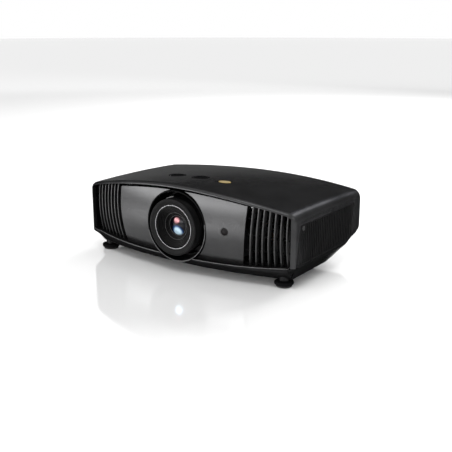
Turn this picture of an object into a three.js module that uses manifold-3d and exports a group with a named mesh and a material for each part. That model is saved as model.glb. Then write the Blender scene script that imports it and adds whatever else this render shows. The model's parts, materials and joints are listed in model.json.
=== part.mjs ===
// Home cinema projector: bowed two-part case, graphite front panel with a centred shifting lens,
// ribbed air grilles, a recessed connector bay, side keys, screw feet and the working parts inside.
// Millimetres. +Z is up, the front faces -Y, +X is to the viewer's right. The origin is on the
// table, below the middle of the case.

import * as THREE from 'three';
import { mergeVertices } from 'three/addons/utils/BufferGeometryUtils.js';
import Module from 'manifold-3d';

const wasm = await Module();
wasm.setup();

// Driving dimensions of the case
const caseWidth = 490; // side wall to side wall
const cornerDepth = 267; // front corner to rear corner, along a side wall
const frontBow = 37.5; // how far the front stands out in the middle
const rearBow = 37.5; // how far the back stands out in the middle
const wall = 2.8; // moulded wall of both case halves
const clearance = 0.3; // gap between neighbouring pieces
const looseGap = 0.6; // wider gap, where a piece slides or meets a curved one
const bite = 1; // how far a joined body sinks into the one that carries it
const overrun = 30; // how far a cutting tool runs past what it cuts

const standHeight = 14.5; // table to the flat underside
const splitHeight = 43; // table to the joint between the case halves
const frontCrown = 33; // rise of the brim to the middle
const brimHeight = 5.5; // bevelled edge above the brim's underside
const brimBevel = 7; // depth of that bevel
const rearRise = 2.9; // virtual rear corner of the top above the brim's front corners
const rearCrown = 8.5; // rise of the rear top edge to the middle
const topBulge = 3; // fullness of the top between its front and rear edges
const sideRound = 15.5; // round between the top and a side wall
const cornerRound = 6; // upright round at the front corners
const rearCornerRound = 4; // and at the rear ones
const rearRound = 8; // round between the top and the back
const heelRound = 10; // round at the foot of the back wall
const heelHeight = 57.4; // underside of the rear overhang
const postWidth = 7; // front corner posts
const postDepth = 8;

// Lower case
const lipMiddleHeight = 35.5; // table to the ledge below the front panel, in the middle
const lipDrop = 1.4; // ledge below the joint of the case halves, at the corners
const lipSetback = 9; // ledge edge behind the brim edge
const lipDepth = 14; // ledge, front to back
const lipFade = 12; // run over which the ledge merges with the corner post
const chinSetback = 26; // foot of the chin behind the brim edge
const chamferWidth = 16; // slanted foot of the side walls
const chamferTop = 40;
const sweepLength = 98; // run over which the underside rises at the back
const sweepEnd = 15.5; // end of that run, ahead of the rear corner
const sweepRise = 37.5;
const sideSweepRise = 14.4; // the same rise, at the foot of the side walls
const sweepWall = 2.24; // wall above the end of the sweep
const sideLift = 2.2; // extra wall in the slanted foot of the sides
const floorThickness = 2.6;

// Front panel, grilles and side vents
const panelTopHalf = 151; // half width of the graphite panel at its top
const panelEdgeRadius = 757; // its side edges are arcs of this radius
const panelCrestHeight = 100; // table to where the panel stands out most
const panelCrestSetback = 9.2; // and how far that is behind the brim edge
const panelCurve = 208; // upright radius of the panel's face
const panelThickness = 3;
const brimGap = 2.4; // shadow gap between panel and brim
const ribWidth = 2.7;
const ribDepth = 9;
const railHeight = 5; // top and bottom rails of a grille
const railFront = 4.5; // rails behind the face of the ribs
const stiffener = { height: 2, front: 5.8 }; // bars across the ribs, behind their face
const ventFrontFoot = 5.7; // side vent corners, from the front and rear corners of the case
const ventFrontTop = 20.1;
const ventRearTop = 32.8;
const ventDrop = 16; // top of the side vents below the brim's corners
const ventReach = 1.7; // how far a vent opening goes past the wall
const sidePlate = { thickness: 3, recess: 1, margin: 2.4, slot: 3.3, rib: 2.65, gap: 0.4 };
const screw = { radius: 2.4, head: 4.8, recess: 5.4, slot: 1, depth: 6, behind: 14, below: 8 };

// Lens, front to back from the face of the focus ring
const lensHeight = 90.8; // table to the optical axis
const lensProud = 0.2; // face of the focus ring ahead of the brim
const brimRoom = 7.6; // lens surround to the brim above it
const focusRadius = 55.4;
// Radii of the lens pieces, measured from the focus ring's edge inwards
const lensInset = {
  surround: -14.7, surroundMouth: -11.2, surroundThroat: -5.1, focusFace: 2.2, focusBore: 12.2,
  trim: 12.6, trimBore: 14.2, zoom: 2.4, zoomBore: 9.4, zoomTab: -1.6, barrel: 9.8, barrelBore: 21.5,
  barrelRear: 17.2, flange: 5.4, cell: 15.2, cellMouth: 16.8, cellThroat: 31.2, cellBore: 33.4,
  glass: 31.8, group: 21.9, groupGlass: 28.6,
};
const surround = { setback: 10.8, length: 32.4, rim: 2.2, floor: 3 };
const focus = { length: 18.8, edge: 3.2, dip: 1.6, seat: 5.2 };
const trim = { depth: 3.6, dip: 0.4, crown: 0.55 };
const zoom = { length: 19.4, tabRoot: 2.8 };
const barrel = { neck: 30, flange: 5.9, tail: 25.1 };
const barrelRoom = { behind: 5.6, taper: 2.8 }; // room for the focusing cell in the barrel
const cell = { setback: 3, depth: 26, pocket: 10 };
const glass = { bulge: 7.5, edge: 3 };
const group = { setback: 5, length: 16, bulge: 6 };
const shift = {
  up: 5, across: 2.5, plate: 4.2, borderUp: 2, borderAcross: 6, slide: 3, free: 1.5, margin: 12, round: 6,
};

// Top controls and trims
const dial = {
  radius: 13.5, dish: 18.5, dishDepth: 4.2, rise: 0.8, edge: 1.6, dip: 0.5, stem: 4, reach: 24,
};
const dialFlute = { radius: 1.8, out: 0.8 };
const dialSetback = 106.5; // dials behind the middle of the brim
const dialAcross = [-69, -10.9]; // vertical and horizontal shift dial
const inlay = { radius: 15.7, across: 49.6, setback: 103.2, thickness: 1.4, pocket: 1.2, bed: 1.4 };
const irWindow = { radius: 7.3, across: 108.6, height: 95.6, depth: 6 };

// Feet
const foot = { radius: 18, top: 10.3, flute: 1.8, fluteOut: 0.7, stem: 4, reach: 40 };
const pad = { radius: 15, height: 3.7, edge: 1.8 };
const boss = { radius: 9.5, foot: 11, top: 34 };
const frontFoot = { inset: 32, setback: 20.5 }; // from the side wall and from the front corner
const rearFoot = { inset: 80, behind: 38 }; // from the side wall and behind the start of the sweep

// Keys on the left side wall
const keys = {
  ahead: 65.5, rise: 30.6, proud: 1.2, depth: 8, acrossStep: 24, upStep: 17, smallRadius: 3.8,
};
const keyRing = { radius: 15, bore: 6.6, gap: 1.43, okRadius: 5.7, ventGap: 46 };
const keyBoard = { gap: 1.4, thickness: 1.6, across: 30, up: 29, bossAcross: 27, bossUp: 24.8, boss: 2.8 };

// Connector bay at the back
const bay = { half: 165, rise: 8.6, drop: 16.4, setback: 29, thickness: 2.5, round: 5 };
const socketDrop = 2; // centre line of the sockets below the middle of the bay
const inlet = {
  width: 28, height: 20.5, depth: 22, proud: 1.5, wall: 2.2, flangeHalf: 20.2, flangeUp: 13.5, round: 4.4,
};
const inletPin = { width: 2, height: 4, pitch: 7, back: 4.4, foot: 1.1 };
const hdmi = { width: 15.2, height: 6.2, depth: 11, proud: 1.2, wall: 0.9, tongue: 1.4, tongueWidth: 11 };
const usb = { width: 14, height: 7.2, depth: 13, proud: 1.2, wall: 0.9, tongue: 1.8, tongueWidth: 10.4 };
const lan = { width: 16.4, height: 13.6, depth: 15, proud: 1.2, wall: 1.2 };
const serial = {
  width: 30.6, height: 12.4, depth: 9, proud: 4.2, wall: 1.3,
  foot: 8, head: 9.2, half: 4, nut: 2.1, nutAt: 12.5,
};
const jack = { radius: 4.4, bore: 1.9, depth: 12, proud: 1.6 };

// Working parts inside
const standoff = 5; // height of the posts that carry the inner parts
const postRadius = 3;
const postInset = 10; // posts within the edges of what they carry
const fan = {
  size: 80, depth: 25, corner: 6, rim: 2, hub: 17, tipGap: 1.4, blade: 2, strut: 4, strutDepth: 3,
};
const bladeLength = 16.6;
const intakeFan = { behind: 81.5, foot: 34 }; // behind the front corner, and above the table
const exhaustGap = 3; // from the exhaust fan to the cover's screw and to the front foot's boss
const engine = {
  depth: 132.1, height: 56, hood: 25.2, hoodEnd: 20, plate: 4, round: 10, boreReach: 16, port: 15,
};
const engineRib = { width: 3, pitch: 40, height: 4, length: 34 };
const lamp = {
  gap: 19, width: 72, setback: 2, depth: 72, height: 70, mouth: 27, bowl: 26, burner: 4.3, round: 6.5,
};
const lampHandle = { width: 13, rise: 13, grip: 4, root: 6.5, inset: 13, round: 2 };
const wheelRoom = 54; // engine to lamp, where the colour wheel turns
const wheel = { radius: 26, thickness: 1.2, hub: 9, hubDepth: 9, cap: 2.4, light: 16.1 };
const sink = { width: 62, height: 50, depth: 34, fin: 1.8, base: 5, rise: 12 };
const board = { leftInset: 95, rightInset: 127, gap: 40, setback: 14, height: 62, thickness: 1.6 };
const chip = { size: 20, height: 3, setback: 10 };
const supply = {
  inset: 69, gap: 22, setback: 10.1, rear: 4, height: 44, lid: 4, border: 12, slot: 3, round: 2,
};

// Angles, in radians
const fanTilt = 0.62; // blade pitch
const tabAngle = 0.42; // zoom tab, from upright
const tabHalfAngle = 0.21;
const tabRootAngle = 0.252;

// Shares: fractions of the sizes that they follow
const crownPower = 1.81; // how late the brim turns down towards the corners
const lipPower = 2.2;
const brimShares = [[0, 0], [0.16, 0.55], [0.45, 0.88], [1, 1]];
const chinShares = [[0, 0], [0.03, 0.16], [0.45, 0.6]];
const sweepShares = [[0, 0], [0.28, 0.12], [0.7, 0.42], [0.93, 0.76], [1, 1]];
const sideSweepShares = [[0, 0], [0.28, 0.01], [0.55, 0.07], [0.745, 0.59], [1, 1]];
const heelShares = [0, 0.5, 1]; // quarter rounds, from the top
const footShares = [1, 0.5, 0];
const rimShares = [[0, 1], [0.4, 0.3], [1, 0]];
const focusEdgeShares = [[0, 1], [0.25, 0.3]];
const cellLedgeShare = 0.25;
const bowlShares = [[1, 0], [0.8, 0.45], [0.35, 1]];
const burnerShare = 0.3;
const dialFaceShare = 0.55;
const crownShare = 0.9;
const keyFaceShare = 0.82;
const chipShares = [0.14, 0.36, 0.59, 0.82];
const smallChipShare = 0.6;
const hdmiShares = [-0.085, -0.2545];
const usbShare = 0.109;
const lanShare = 0.2788;
const serialShare = -0.509;
const inletShare = 0.8;
const jackShares = [-0.703, -0.8364];

// Counts
const ribCount = 7; // upright ribs in one front grille
const cellSteps = 4;
const finCount = 7;
const bladeCount = 7;
const slotCount = 6;
const engineRibs = 3;
const dialFlutes = 8;
const footFlutes = 6;
const lensSegments = 20;
const rimSegments = 28;
const innerSegments = 16;
const lensFlat = Math.cos(Math.PI / lensSegments); // radius at a facet's middle, as a share
const pinSegments = 12;
const smallSegments = 8;
const postSides = 4;
const cornerSegments = 2;
const arcPoints = 3;
const borePoints = 8;
const domeSteps = 3;
const roundSteps = 3;
const stationCount = 8;
const trayStationCount = 6;
const slopeSteps = 2;
const topSteps = 4;
const panelAcross = 10;
const panelUp = 4;
const ribUp = 3;
const railAcross = 2;
const quarter = Math.PI / 2;
const weld = 1e-4;

// Sizes and places that follow
const halfWidth = caseWidth / 2;
const halfDepth = cornerDepth / 2;
const postHalf = halfWidth - postWidth;
const insets = Object.entries(lensInset);
const radii = Object.fromEntries(insets.map(([name, inset]) => [name, focusRadius - inset]));
const shiftWidth = 2 * (radii.flange + shift.borderAcross);
const shiftHeight = 2 * (radii.flange + shift.borderUp);
const cornerBrimHeight = lensHeight + radii.surround + brimRoom - frontCrown; // virtual front corner
const rearCornerHeight = cornerBrimHeight + rearRise;
const ventTopHeight = cornerBrimHeight - ventDrop;
const bayBottom = heelHeight + bay.rise;
const bayTop = rearCornerHeight - bay.drop;
const socketHeight = (bayBottom + bayTop) / 2 - socketDrop;
const sweepStart = halfDepth - sweepEnd - sweepLength;
const brimFront = halfDepth + frontBow;
const lensFront = brimFront + lensProud;
const focusBack = lensFront - focus.length;
const surroundFront = lensFront - surround.setback;
const surroundBack = surroundFront - surround.length;
const cellFront = lensFront - cell.setback;
const cellBack = cellFront - cell.depth;
const zoomBack = focusBack - zoom.length;
const shoulder = zoomBack - barrel.neck;
const plateFront = shoulder - barrel.flange;
const barrelRear = plateFront - barrel.tail;
const groupFront = zoomBack - group.setback;
const dialY = dialSetback - brimFront;
const inlayY = inlay.setback - brimFront;
const bayPlate = halfDepth + rearBow - bay.setback;
const bayFace = bayPlate + bay.thickness;
const keyY = halfDepth - keys.ahead;
const keyZ = heelHeight + keys.rise;
const keyVentRear = keyY - keyRing.ventGap;
const coverFace = halfWidth - sidePlate.recess - sidePlate.thickness; // inner face of the side plates
const floorTop = standHeight + floorThickness;
const seat = floorTop + standoff; // top of the posts that carry the inner parts
const partFoot = seat + clearance; // underside of the inner parts
const slideFront = -plateFront + shift.plate + clearance;
const mountFront = slideFront + shift.plate + clearance;
const engineRear = mountFront + engine.depth;
const lampRight = coverFace - lamp.gap;
const lampLeft = lampRight - lamp.width;
const lampRear = engineRear - lamp.setback;
const lampFront = lampRear - lamp.depth;
const lampMiddle = lampRear - lamp.depth / 2;
const engineLeft = -shiftWidth / 2 - shift.round;
const engineRight = lampLeft - wheelRoom;
const engineMiddle = (engineLeft + engineRight) / 2;
const supplyLeft = -halfWidth + supply.inset;
const supplyRight = engineLeft - supply.gap;
const supplyFront = mountFront + supply.setback;
const supplyRear = engineRear - supply.rear;
const boardLeft = -halfWidth + board.leftInset;
const boardRight = halfWidth - board.rightInset;
const boardFront = engineRear + board.gap;
const boardRear = bayPlate - board.setback;
const wheelX = engineRight + clearance + wheel.hubDepth;
const wheelZ = partFoot + wheel.radius + standoff;
const ventFootY = ventFrontFoot - halfDepth;
const ventTopY = ventFrontTop - halfDepth;
const ventRearY = halfDepth - ventRearTop;
const frontFootY = frontFoot.setback - halfDepth;
const feetPlaces = {
  front_left: [-halfWidth + frontFoot.inset, frontFootY],
  front_right: [halfWidth - frontFoot.inset, frontFootY],
  rear_left: [-halfWidth + rearFoot.inset, sweepStart + rearFoot.behind],
  rear_right: [halfWidth - rearFoot.inset, sweepStart + rearFoot.behind],
};
const intakeX = -coverFace + fan.depth / 2 + wall + clearance;
const intakeY = intakeFan.behind - halfDepth;
const fanBore = fan.size / 2 - fan.rim;
const bladeTip = fanBore - fan.tipGap;
const exhaustX = coverFace - screw.depth - exhaustGap - fan.size / 2;
const exhaustY = frontFootY + boss.radius + exhaustGap + fan.depth / 2;

// Geometry tools

// Turns a closed three.js geometry into a solid with its faces pointing out.
function solid(geometry) {
  const bare = geometry.clone();
  bare.deleteAttribute('normal');
  bare.deleteAttribute('uv');
  const merged = mergeVertices(bare, weld);
  const points = merged.attributes.position;
  const corners = [];
  let volume = 0;
  const [a, b, c] = [new THREE.Vector3(), new THREE.Vector3(), new THREE.Vector3()];
  for (let i = 0; i < merged.index.count; i += 3) {
    const tri = [0, 1, 2].map((k) => merged.index.getX(i + k));
    if (new Set(tri).size < tri.length) continue;
    corners.push(tri);
    [a, b, c].forEach((v, k) => v.fromBufferAttribute(points, tri[k]));
    volume += a.dot(b.clone().cross(c));
  }
  const facing = volume < 0 ? corners.map(([p, q, r]) => [p, r, q]) : corners;
  const triVerts = new Uint32Array(facing.flat());
  const vertProperties = new Float32Array(points.array);
  return new wasm.Manifold(new wasm.Mesh({ numProp: 3, vertProperties, triVerts }));
}

// The three.js geometry of a finished solid.
function geometryOf(body) {
  const mesh = body.asOriginal().simplify(weld).getMesh();
  const geometry = new THREE.BufferGeometry();
  geometry.setAttribute('position', new THREE.BufferAttribute(new Float32Array(mesh.vertProperties), 3));
  geometry.setIndex(new THREE.BufferAttribute(new Uint32Array(mesh.triVerts), 1));
  geometry.computeVertexNormals();
  return geometry;
}

const join = (bodies) => bodies.reduce((all, next) => all.add(next));
const cut = (body, tools) => tools.reduce((left, tool) => left.subtract(tool), body);
const mix = (from, to, part) => from + (to - from) * part;
const clamp = (value) => Math.min(1, Math.max(0, value));
const range = (count) => Array.from({ length: count }, (_, i) => i);
const ends = [-1, 1];

// A solid through equal loops of points, closed at both ends. flat() gives a loop's own plane.
function loft(given, flat) {
  const backward = THREE.ShapeUtils.area(given[0].map(flat)) < 0;
  const loops = backward ? given.map((loop) => [...loop].reverse()) : given;
  const size = loops[0].length;
  const index = [];
  for (let i = 0; i < loops.length - 1; i += 1) {
    for (let j = 0; j < size; j += 1) {
      const [p, q] = [i * size + j, i * size + ((j + 1) % size)];
      index.push(p, q, q + size, p, q + size, p + size);
    }
  }
  const last = loops.length - 1;
  for (const [loop, first, isEnd] of [[loops[0], 0, false], [loops[last], last * size, true]]) {
    const points = loop.map(flat);
    for (const [p, q, r] of THREE.ShapeUtils.triangulateShape(points, [])) {
      const ahead = THREE.ShapeUtils.area([points[p], points[q], points[r]]) > 0;
      index.push(first + p, first + (ahead === isEnd ? q : r), first + (ahead === isEnd ? r : q));
    }
  }
  const geometry = new THREE.BufferGeometry();
  geometry.setAttribute('position', new THREE.Float32BufferAttribute(loops.flat(2), 3));
  geometry.setIndex(index);
  return solid(geometry);
}

const alongX = ([, y, z]) => new THREE.Vector2(y, z);
const alongZ = ([x, y]) => new THREE.Vector2(x, y);

function block(x0, x1, y0, y1, z0, z1) {
  const box = new THREE.BoxGeometry(x1 - x0, y1 - y0, z1 - z0);
  return solid(box.translate((x0 + x1) / 2, (y0 + y1) / 2, (z0 + z1) / 2));
}

// A block given by its middle and its half sizes across and up, and by its ends back and forth.
function plug(x, halfAcross, y0, y1, z, halfUp) {
  return block(x - halfAcross, x + halfAcross, y0, y1, z - halfUp, z + halfUp);
}

// Frames that lay a flat outline across one axis and push it out along that axis.
const upright = new THREE.Vector3(0, 0, 1);
const frames = {
  x: new THREE.Matrix4().makeBasis(new THREE.Vector3(0, 1, 0), upright, new THREE.Vector3(1, 0, 0)),
  y: new THREE.Matrix4().makeBasis(new THREE.Vector3(1, 0, 0), upright, new THREE.Vector3(0, 1, 0)),
  z: new THREE.Matrix4(),
};

function prism(axis, shape, from, to) {
  const options = { depth: to - from, bevelEnabled: false, curveSegments: cornerSegments };
  const geometry = new THREE.ExtrudeGeometry(shape, options);
  geometry.translate(0, 0, from);
  return solid(geometry.applyMatrix4(frames[axis]));
}

function outline(points) {
  return new THREE.Shape(points.map(([u, v]) => new THREE.Vector2(u, v)));
}

function roundedBox(u0, u1, v0, v1, r) {
  const shape = new THREE.Shape();
  const corners = [[u1 - r, v0 + r], [u1 - r, v1 - r], [u0 + r, v1 - r], [u0 + r, v0 + r]];
  corners.forEach(([u, v], i) => shape.absarc(u, v, r, (i - 1) * quarter, i * quarter));
  return shape;
}

// A body of revolution about one axis, from [radius, distance] points.
function revolve(axis, profile, u, v, segments = lensSegments) {
  const points = [...profile, profile[0]].map(([r, t]) => new THREE.Vector2(r, t));
  const geometry = new THREE.LatheGeometry(points, segments);
  if (axis === 'z') geometry.rotateX(quarter).translate(u, v, 0);
  if (axis === 'y') geometry.translate(u, 0, v);
  if (axis === 'x') geometry.rotateZ(-quarter).translate(0, u, v);
  return solid(geometry);
}

function pin(axis, radius, from, to, u, v, segments = pinSegments) {
  return revolve(axis, [[0, from], [radius, from], [radius, to], [0, to]], u, v, segments);
}

// Flutes round the edge of an upright turned part, as a set of cutters.
function flutes(radius, size, count, from, to, x, y) {
  return range(count).map((i) => {
    const turn = (i * 2 * Math.PI) / count;
    return pin('z', size, from, to, x + radius * Math.cos(turn), y + radius * Math.sin(turn), postSides);
  });
}

// The case's own surfaces

const share = (x) => Math.min(1, Math.abs(x) / halfWidth);
const bow = (x) => 1 - share(x) ** 2;

// How far a round of this radius has come away from the corner at x. inset is a wall within it.
function roundDrop(x, radius, inset = 0) {
  const into = Math.abs(x) - (halfWidth - radius);
  const inner = radius - inset;
  return into <= 0 ? 0 : inner - Math.sqrt(Math.max(0, inner ** 2 - into ** 2));
}

const frontEdge = (x) => -halfDepth - frontBow * bow(x) + roundDrop(x, cornerRound);
const rearEdge = (x) => halfDepth + rearBow * bow(x) - roundDrop(x, rearCornerRound);
const heelStart = (x) => rearEdge(x) - heelRound;
const crownAt = (x) => cornerBrimHeight + frontCrown * (1 - share(x) ** crownPower);
const brimUnder = (x) => crownAt(x) - roundDrop(x, sideRound);
const rearTop = (x) => rearCornerHeight + rearCrown * bow(x);

// Height of the top surface, or of a surface one inset below it.
function topAt(x, y, inset = 0) {
  const part = clamp((y - frontEdge(x)) / (rearEdge(x) - frontEdge(x)));
  const level = mix(crownAt(x) + brimHeight, rearTop(x), part);
  return level + topBulge * 4 * part * (1 - part) - inset - roundDrop(x, sideRound, inset);
}

// Stations along the width, closer together in the side rounds.
function stations(inset = 0) {
  const flatHalf = halfWidth - sideRound;
  const flat = range(stationCount + 1).map((i) => mix(-flatHalf, flatHalf, i / stationCount));
  const turns = range(roundSteps).map((i) => (quarter * (i + 1)) / roundSteps);
  const round = turns.map((turn) => flatHalf + (sideRound - inset) * Math.sin(turn));
  return [...round.map((x) => -x).reverse(), ...flat, ...round];
}

// The line where the case halves meet, seen from the side: level, then up to the rear overhang.
const splitLine = [
  [sweepStart + sweepLength * sideSweepShares[2][0], splitHeight],
  [
    sweepStart + sweepLength * sideSweepShares[3][0],
    mix(splitHeight, heelHeight, sideSweepShares[3][1]),
  ],
  [sweepStart + sweepLength, heelHeight],
];

// A quarter round seen from the side, from level to upright.
function quarterRound(y, z, radius, shares, down) {
  const way = down ? -radius : radius;
  return shares.map((s) => [y + radius * Math.sin(s * quarter), z + way * Math.cos(s * quarter)]);
}

// Upper case

function upperSection(x) {
  const [front, rear, under] = [frontEdge(x), rearEdge(x), brimUnder(x)];
  const brim = brimShares.map(([back, up]) => [front + brimBevel * back, under + brimHeight * up]);
  const [from, to] = [front + brimBevel, rear - rearRound];
  const along = range(topSteps).map((i) => mix(from, to, (i + 1) / topSteps));
  const top = along.map((y) => [y, topAt(x, y)]);
  const back = quarterRound(to, topAt(x, to) - rearRound, rearRound, heelShares.slice(1), false);
  const heel = quarterRound(rear - heelRound, heelHeight + heelRound, heelRound, footShares, true);
  const points = [...brim, ...top, ...back, ...heel, ...[...splitLine].reverse(), [front, splitHeight]];
  return points.map(([y, z]) => [x, y, z]);
}

function cavitySection(x) {
  const [front, rear] = [frontEdge(x) + postDepth, rearEdge(x) - wall];
  const to = rear - rearRound;
  const along = range(topSteps + 1).map((i) => mix(front, to, i / topSteps));
  const top = along.map((y) => [y, topAt(x, y, wall)]);
  const edge = topAt(x, to, wall) - rearRound;
  const round = heelRound - wall;
  const heel = quarterRound(rear - round, heelHeight + wall + round, round, footShares, true);
  const low = splitHeight - overrun;
  const points = [...top, [rear, edge], ...heel, [rear - round, low], [front, low]];
  return points.map(([y, z]) => [x, y, z]);
}

function windowSection(x) {
  const [near, far] = [frontEdge(x) - overrun, frontEdge(x) + postDepth + wall];
  const [low, high] = [splitHeight - overrun, brimUnder(x)];
  return [[x, near, low], [x, far, low], [x, far, high], [x, near, high]];
}

// The hole that the lens surround stands in, as a cutter that ends at this place.
function surroundHole(end) {
  return pin('y', radii.surround + clearance, -brimFront - overrun, end, 0, lensHeight, rimSegments);
}

const outerCase = loft(stations().map(upperSection), alongX);
const cavity = loft(stations(wall).map(cavitySection), alongX);
const windowStations = range(stationCount + 1).map((i) => mix(-postHalf, postHalf, i / stationCount));
const frontWindow = loft(windowStations.map(windowSection), alongX);

// Side vent outlines, seen along X. The right one follows the split line, the left one ends at the keys.
const rightFoot = [splitLine[0], splitLine[1]];
const leftFoot = [[keyVentRear, splitHeight]];

function ventCorners(inset) {
  return [[ventFootY + inset, splitHeight], [ventTopY + inset, ventTopHeight - inset]];
}

function ventPlate(rear, foot) {
  const gap = sidePlate.gap;
  const lower = foot.map(([y, z]) => [y - gap, z]).reverse();
  return outline([...ventCorners(gap), [rear - gap, ventTopHeight - gap], ...lower]);
}

function ventCutter(rear, foot) {
  const low = splitHeight - overrun;
  const last = foot[foot.length - 1];
  const below = [[last[0], low], [ventFootY, low]];
  return outline([...ventCorners(0), [rear, ventTopHeight], ...below]);
}

function bayBlock(inset) {
  const half = bay.half - inset;
  const shape = roundedBox(-half, half, bayBottom + inset, bayTop - inset, bay.round);
  return prism('y', shape, bayPlate, halfDepth + rearBow + overrun);
}

// A surface pocket follows the slope of the top at its own place.
function topNormal(x, y) {
  const slope = (dx, dy) => (topAt(x + dx, y + dy) - topAt(x - dx, y - dy)) / (2 * (dx + dy));
  return new THREE.Vector3(-slope(wall, 0), -slope(0, wall), 1).normalize();
}

function onTop(radius, below, above, x, y) {
  const geometry = new THREE.CylinderGeometry(radius, radius, above - below, innerSegments);
  geometry.translate(0, (above + below) / 2, 0).rotateX(quarter);
  geometry.applyQuaternion(new THREE.Quaternion().setFromUnitVectors(upright, topNormal(x, y)));
  return solid(geometry.translate(x, y, topAt(x, y)));
}

const dialFloor = (x) => topAt(x, dialY) - dial.dishDepth;
const keyCentres = {
  power: [keyY - keys.acrossStep, keyZ + keys.upStep],
  source: [keyY + keys.acrossStep, keyZ + keys.upStep],
  menu: [keyY - keys.acrossStep, keyZ - keys.upStep],
  back: [keyY + keys.acrossStep, keyZ - keys.upStep],
};
const keyFront = -halfWidth - keys.proud;
const keyBoardFace = keyFront + keys.depth + keyBoard.gap;

function upperCase() {
  const shell = cut(outerCase, [cavity, frontWindow]);
  const dishes = dialAcross.map((x) => (
    pin('z', dial.dish + wall, dialFloor(x) - wall, dialFloor(x) + wall, x, dialY, innerSegments)
  ));
  const bed = onTop(inlay.radius + wall, -inlay.pocket - wall, -inlay.bed, inlay.across, inlayY);
  const bosses = ends.flatMap((side) => ends.map((end) => {
    const [y, z] = [keyY + side * keyBoard.bossAcross, keyZ + end * keyBoard.bossUp];
    return pin('x', keyBoard.boss, -halfWidth + bite, keyBoardFace - clearance, y, z, smallSegments);
  }));
  const [outside, inside] = [-halfWidth - overrun, -halfWidth + wall + bite];
  const keyHole = (radius, [y, z], segments) => (
    pin('x', radius + clearance, outside, inside, y, z, segments)
  );
  const tools = [
    prism('x', ventCutter(ventRearY, rightFoot), halfWidth - wall - ventReach, halfWidth + overrun),
    prism('x', ventCutter(keyVentRear, leftFoot), outside, -halfWidth + wall + ventReach),
    bayBlock(bay.thickness),
    onTop(inlay.radius + clearance, -inlay.pocket, overrun, inlay.across, inlayY),
    keyHole(keyRing.radius, [keyY, keyZ], innerSegments),
    ...Object.values(keyCentres).map((place) => keyHole(keys.smallRadius, place, pinSegments)),
    ...dialAcross.flatMap((x) => {
      const [low, floor, high] = [dialFloor(x) - overrun, dialFloor(x), dialFloor(x) + overrun];
      return [
        pin('z', dial.dish, floor, high, x, dialY, innerSegments),
        pin('z', dial.stem + clearance, low, high, x, dialY, innerSegments),
      ];
    }),
  ];
  return cut(join([shell, ...dishes, bed, ...bosses]), tools);
}

// Lower case

// 0 on the flat underside, 1 at the side wall.
const chamferPart = (x) => clamp((Math.abs(x) - (halfWidth - chamferWidth)) / chamferWidth);

const lipHeight = (x) => mix(lipMiddleHeight, splitHeight - lipDrop, share(x) ** lipPower);

function lipFront(x) {
  const left = clamp((postHalf - Math.abs(x)) / lipFade);
  return frontEdge(x) + lipSetback * left * left * (3 - 2 * left);
}

// The underside from the chin to the rear overhang, raised by lift for the inner face.
function underside(x, lift) {
  const part = chamferPart(x);
  const base = mix(standHeight, chamferTop, part);
  const rise = mix(sweepRise, sideSweepRise, part);
  const sweep = sweepShares.map(([along, up], i) => [
    sweepStart + sweepLength * mix(along, sideSweepShares[i][0], part),
    base + rise * mix(up, sideSweepShares[i][1], part) + lift,
  ]);
  return [[frontEdge(x) + chinSetback, base + lift], ...sweep];
}

// Height of the underside along the middle of the case.
function floorAt(y) {
  const points = underside(0, 0);
  const next = points.findIndex(([along]) => along >= y);
  const [[y0, z0], [y1, z1]] = [points[next - 1], points[next]];
  return mix(z0, z1, (y - y0) / (y1 - y0));
}

function traySection(x) {
  const flat = underside(x, 0);
  const [front, foot] = [[lipFront(x), lipHeight(x)], flat[0]];
  const chin = chinShares.map(([along, down]) => (
    [mix(front[0], foot[0], along), mix(front[1], foot[1], down)]
  ));
  const rear = heelStart(x) - clearance;
  const sweepEndHeight = mix(standHeight + sweepRise, chamferTop + sideSweepRise, chamferPart(x));
  const end = Math.min(sweepEndHeight + sweepWall, heelHeight - wall);
  const upper = splitLine.map(([y, z]) => [y, z - clearance]).reverse();
  const ledge = lipFront(x) + lipDepth;
  const back = [[rear, end], [rear, heelHeight - clearance]];
  const lip = [[ledge, splitHeight - clearance], [ledge, lipHeight(x)]];
  const points = [...chin, ...flat, ...back, ...upper, ...lip];
  return points.map(([y, z]) => [x, y, z]);
}

function trayCavitySection(x) {
  const lift = floorThickness + sideLift * chamferPart(x);
  const front = lipFront(x) + lipDepth;
  const floor = underside(x, lift).slice(1);
  const [low, high] = [heelHeight - looseGap, heelHeight + overrun];
  const last = floor[floor.length - 1];
  const rear = heelStart(x) + overrun;
  const sweep = [...floor.slice(0, -1), [last[0], Math.min(last[1], low)]];
  const open = [[rear, heelHeight - clearance], [rear, high], [front, high]];
  const points = [[front, floor[0][1]], ...sweep, ...open];
  return points.map(([y, z]) => [x, y, z]);
}

function trayStations(inset) {
  const flatHalf = halfWidth - chamferWidth;
  const flat = range(trayStationCount + 1).map((i) => mix(-flatHalf, flatHalf, i / trayStationCount));
  const slope = range(slopeSteps).map((i) => mix(flatHalf, halfWidth - inset, (i + 1) / slopeSteps));
  return [...slope.map((x) => -x).reverse(), ...flat, ...slope];
}

function post(x, y, top) {
  return pin('z', postRadius, floorAt(y) + bite, top, x, y, postSides);
}

// Posts under the corners of a part whose edges are given.
function postsUnder(x0, x1, y0, y1, top) {
  const rows = [y0 + postInset, y1 - postInset];
  return [x0 + postInset, x1 - postInset].flatMap((x) => rows.map((y) => post(x, y, top)));
}

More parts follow.
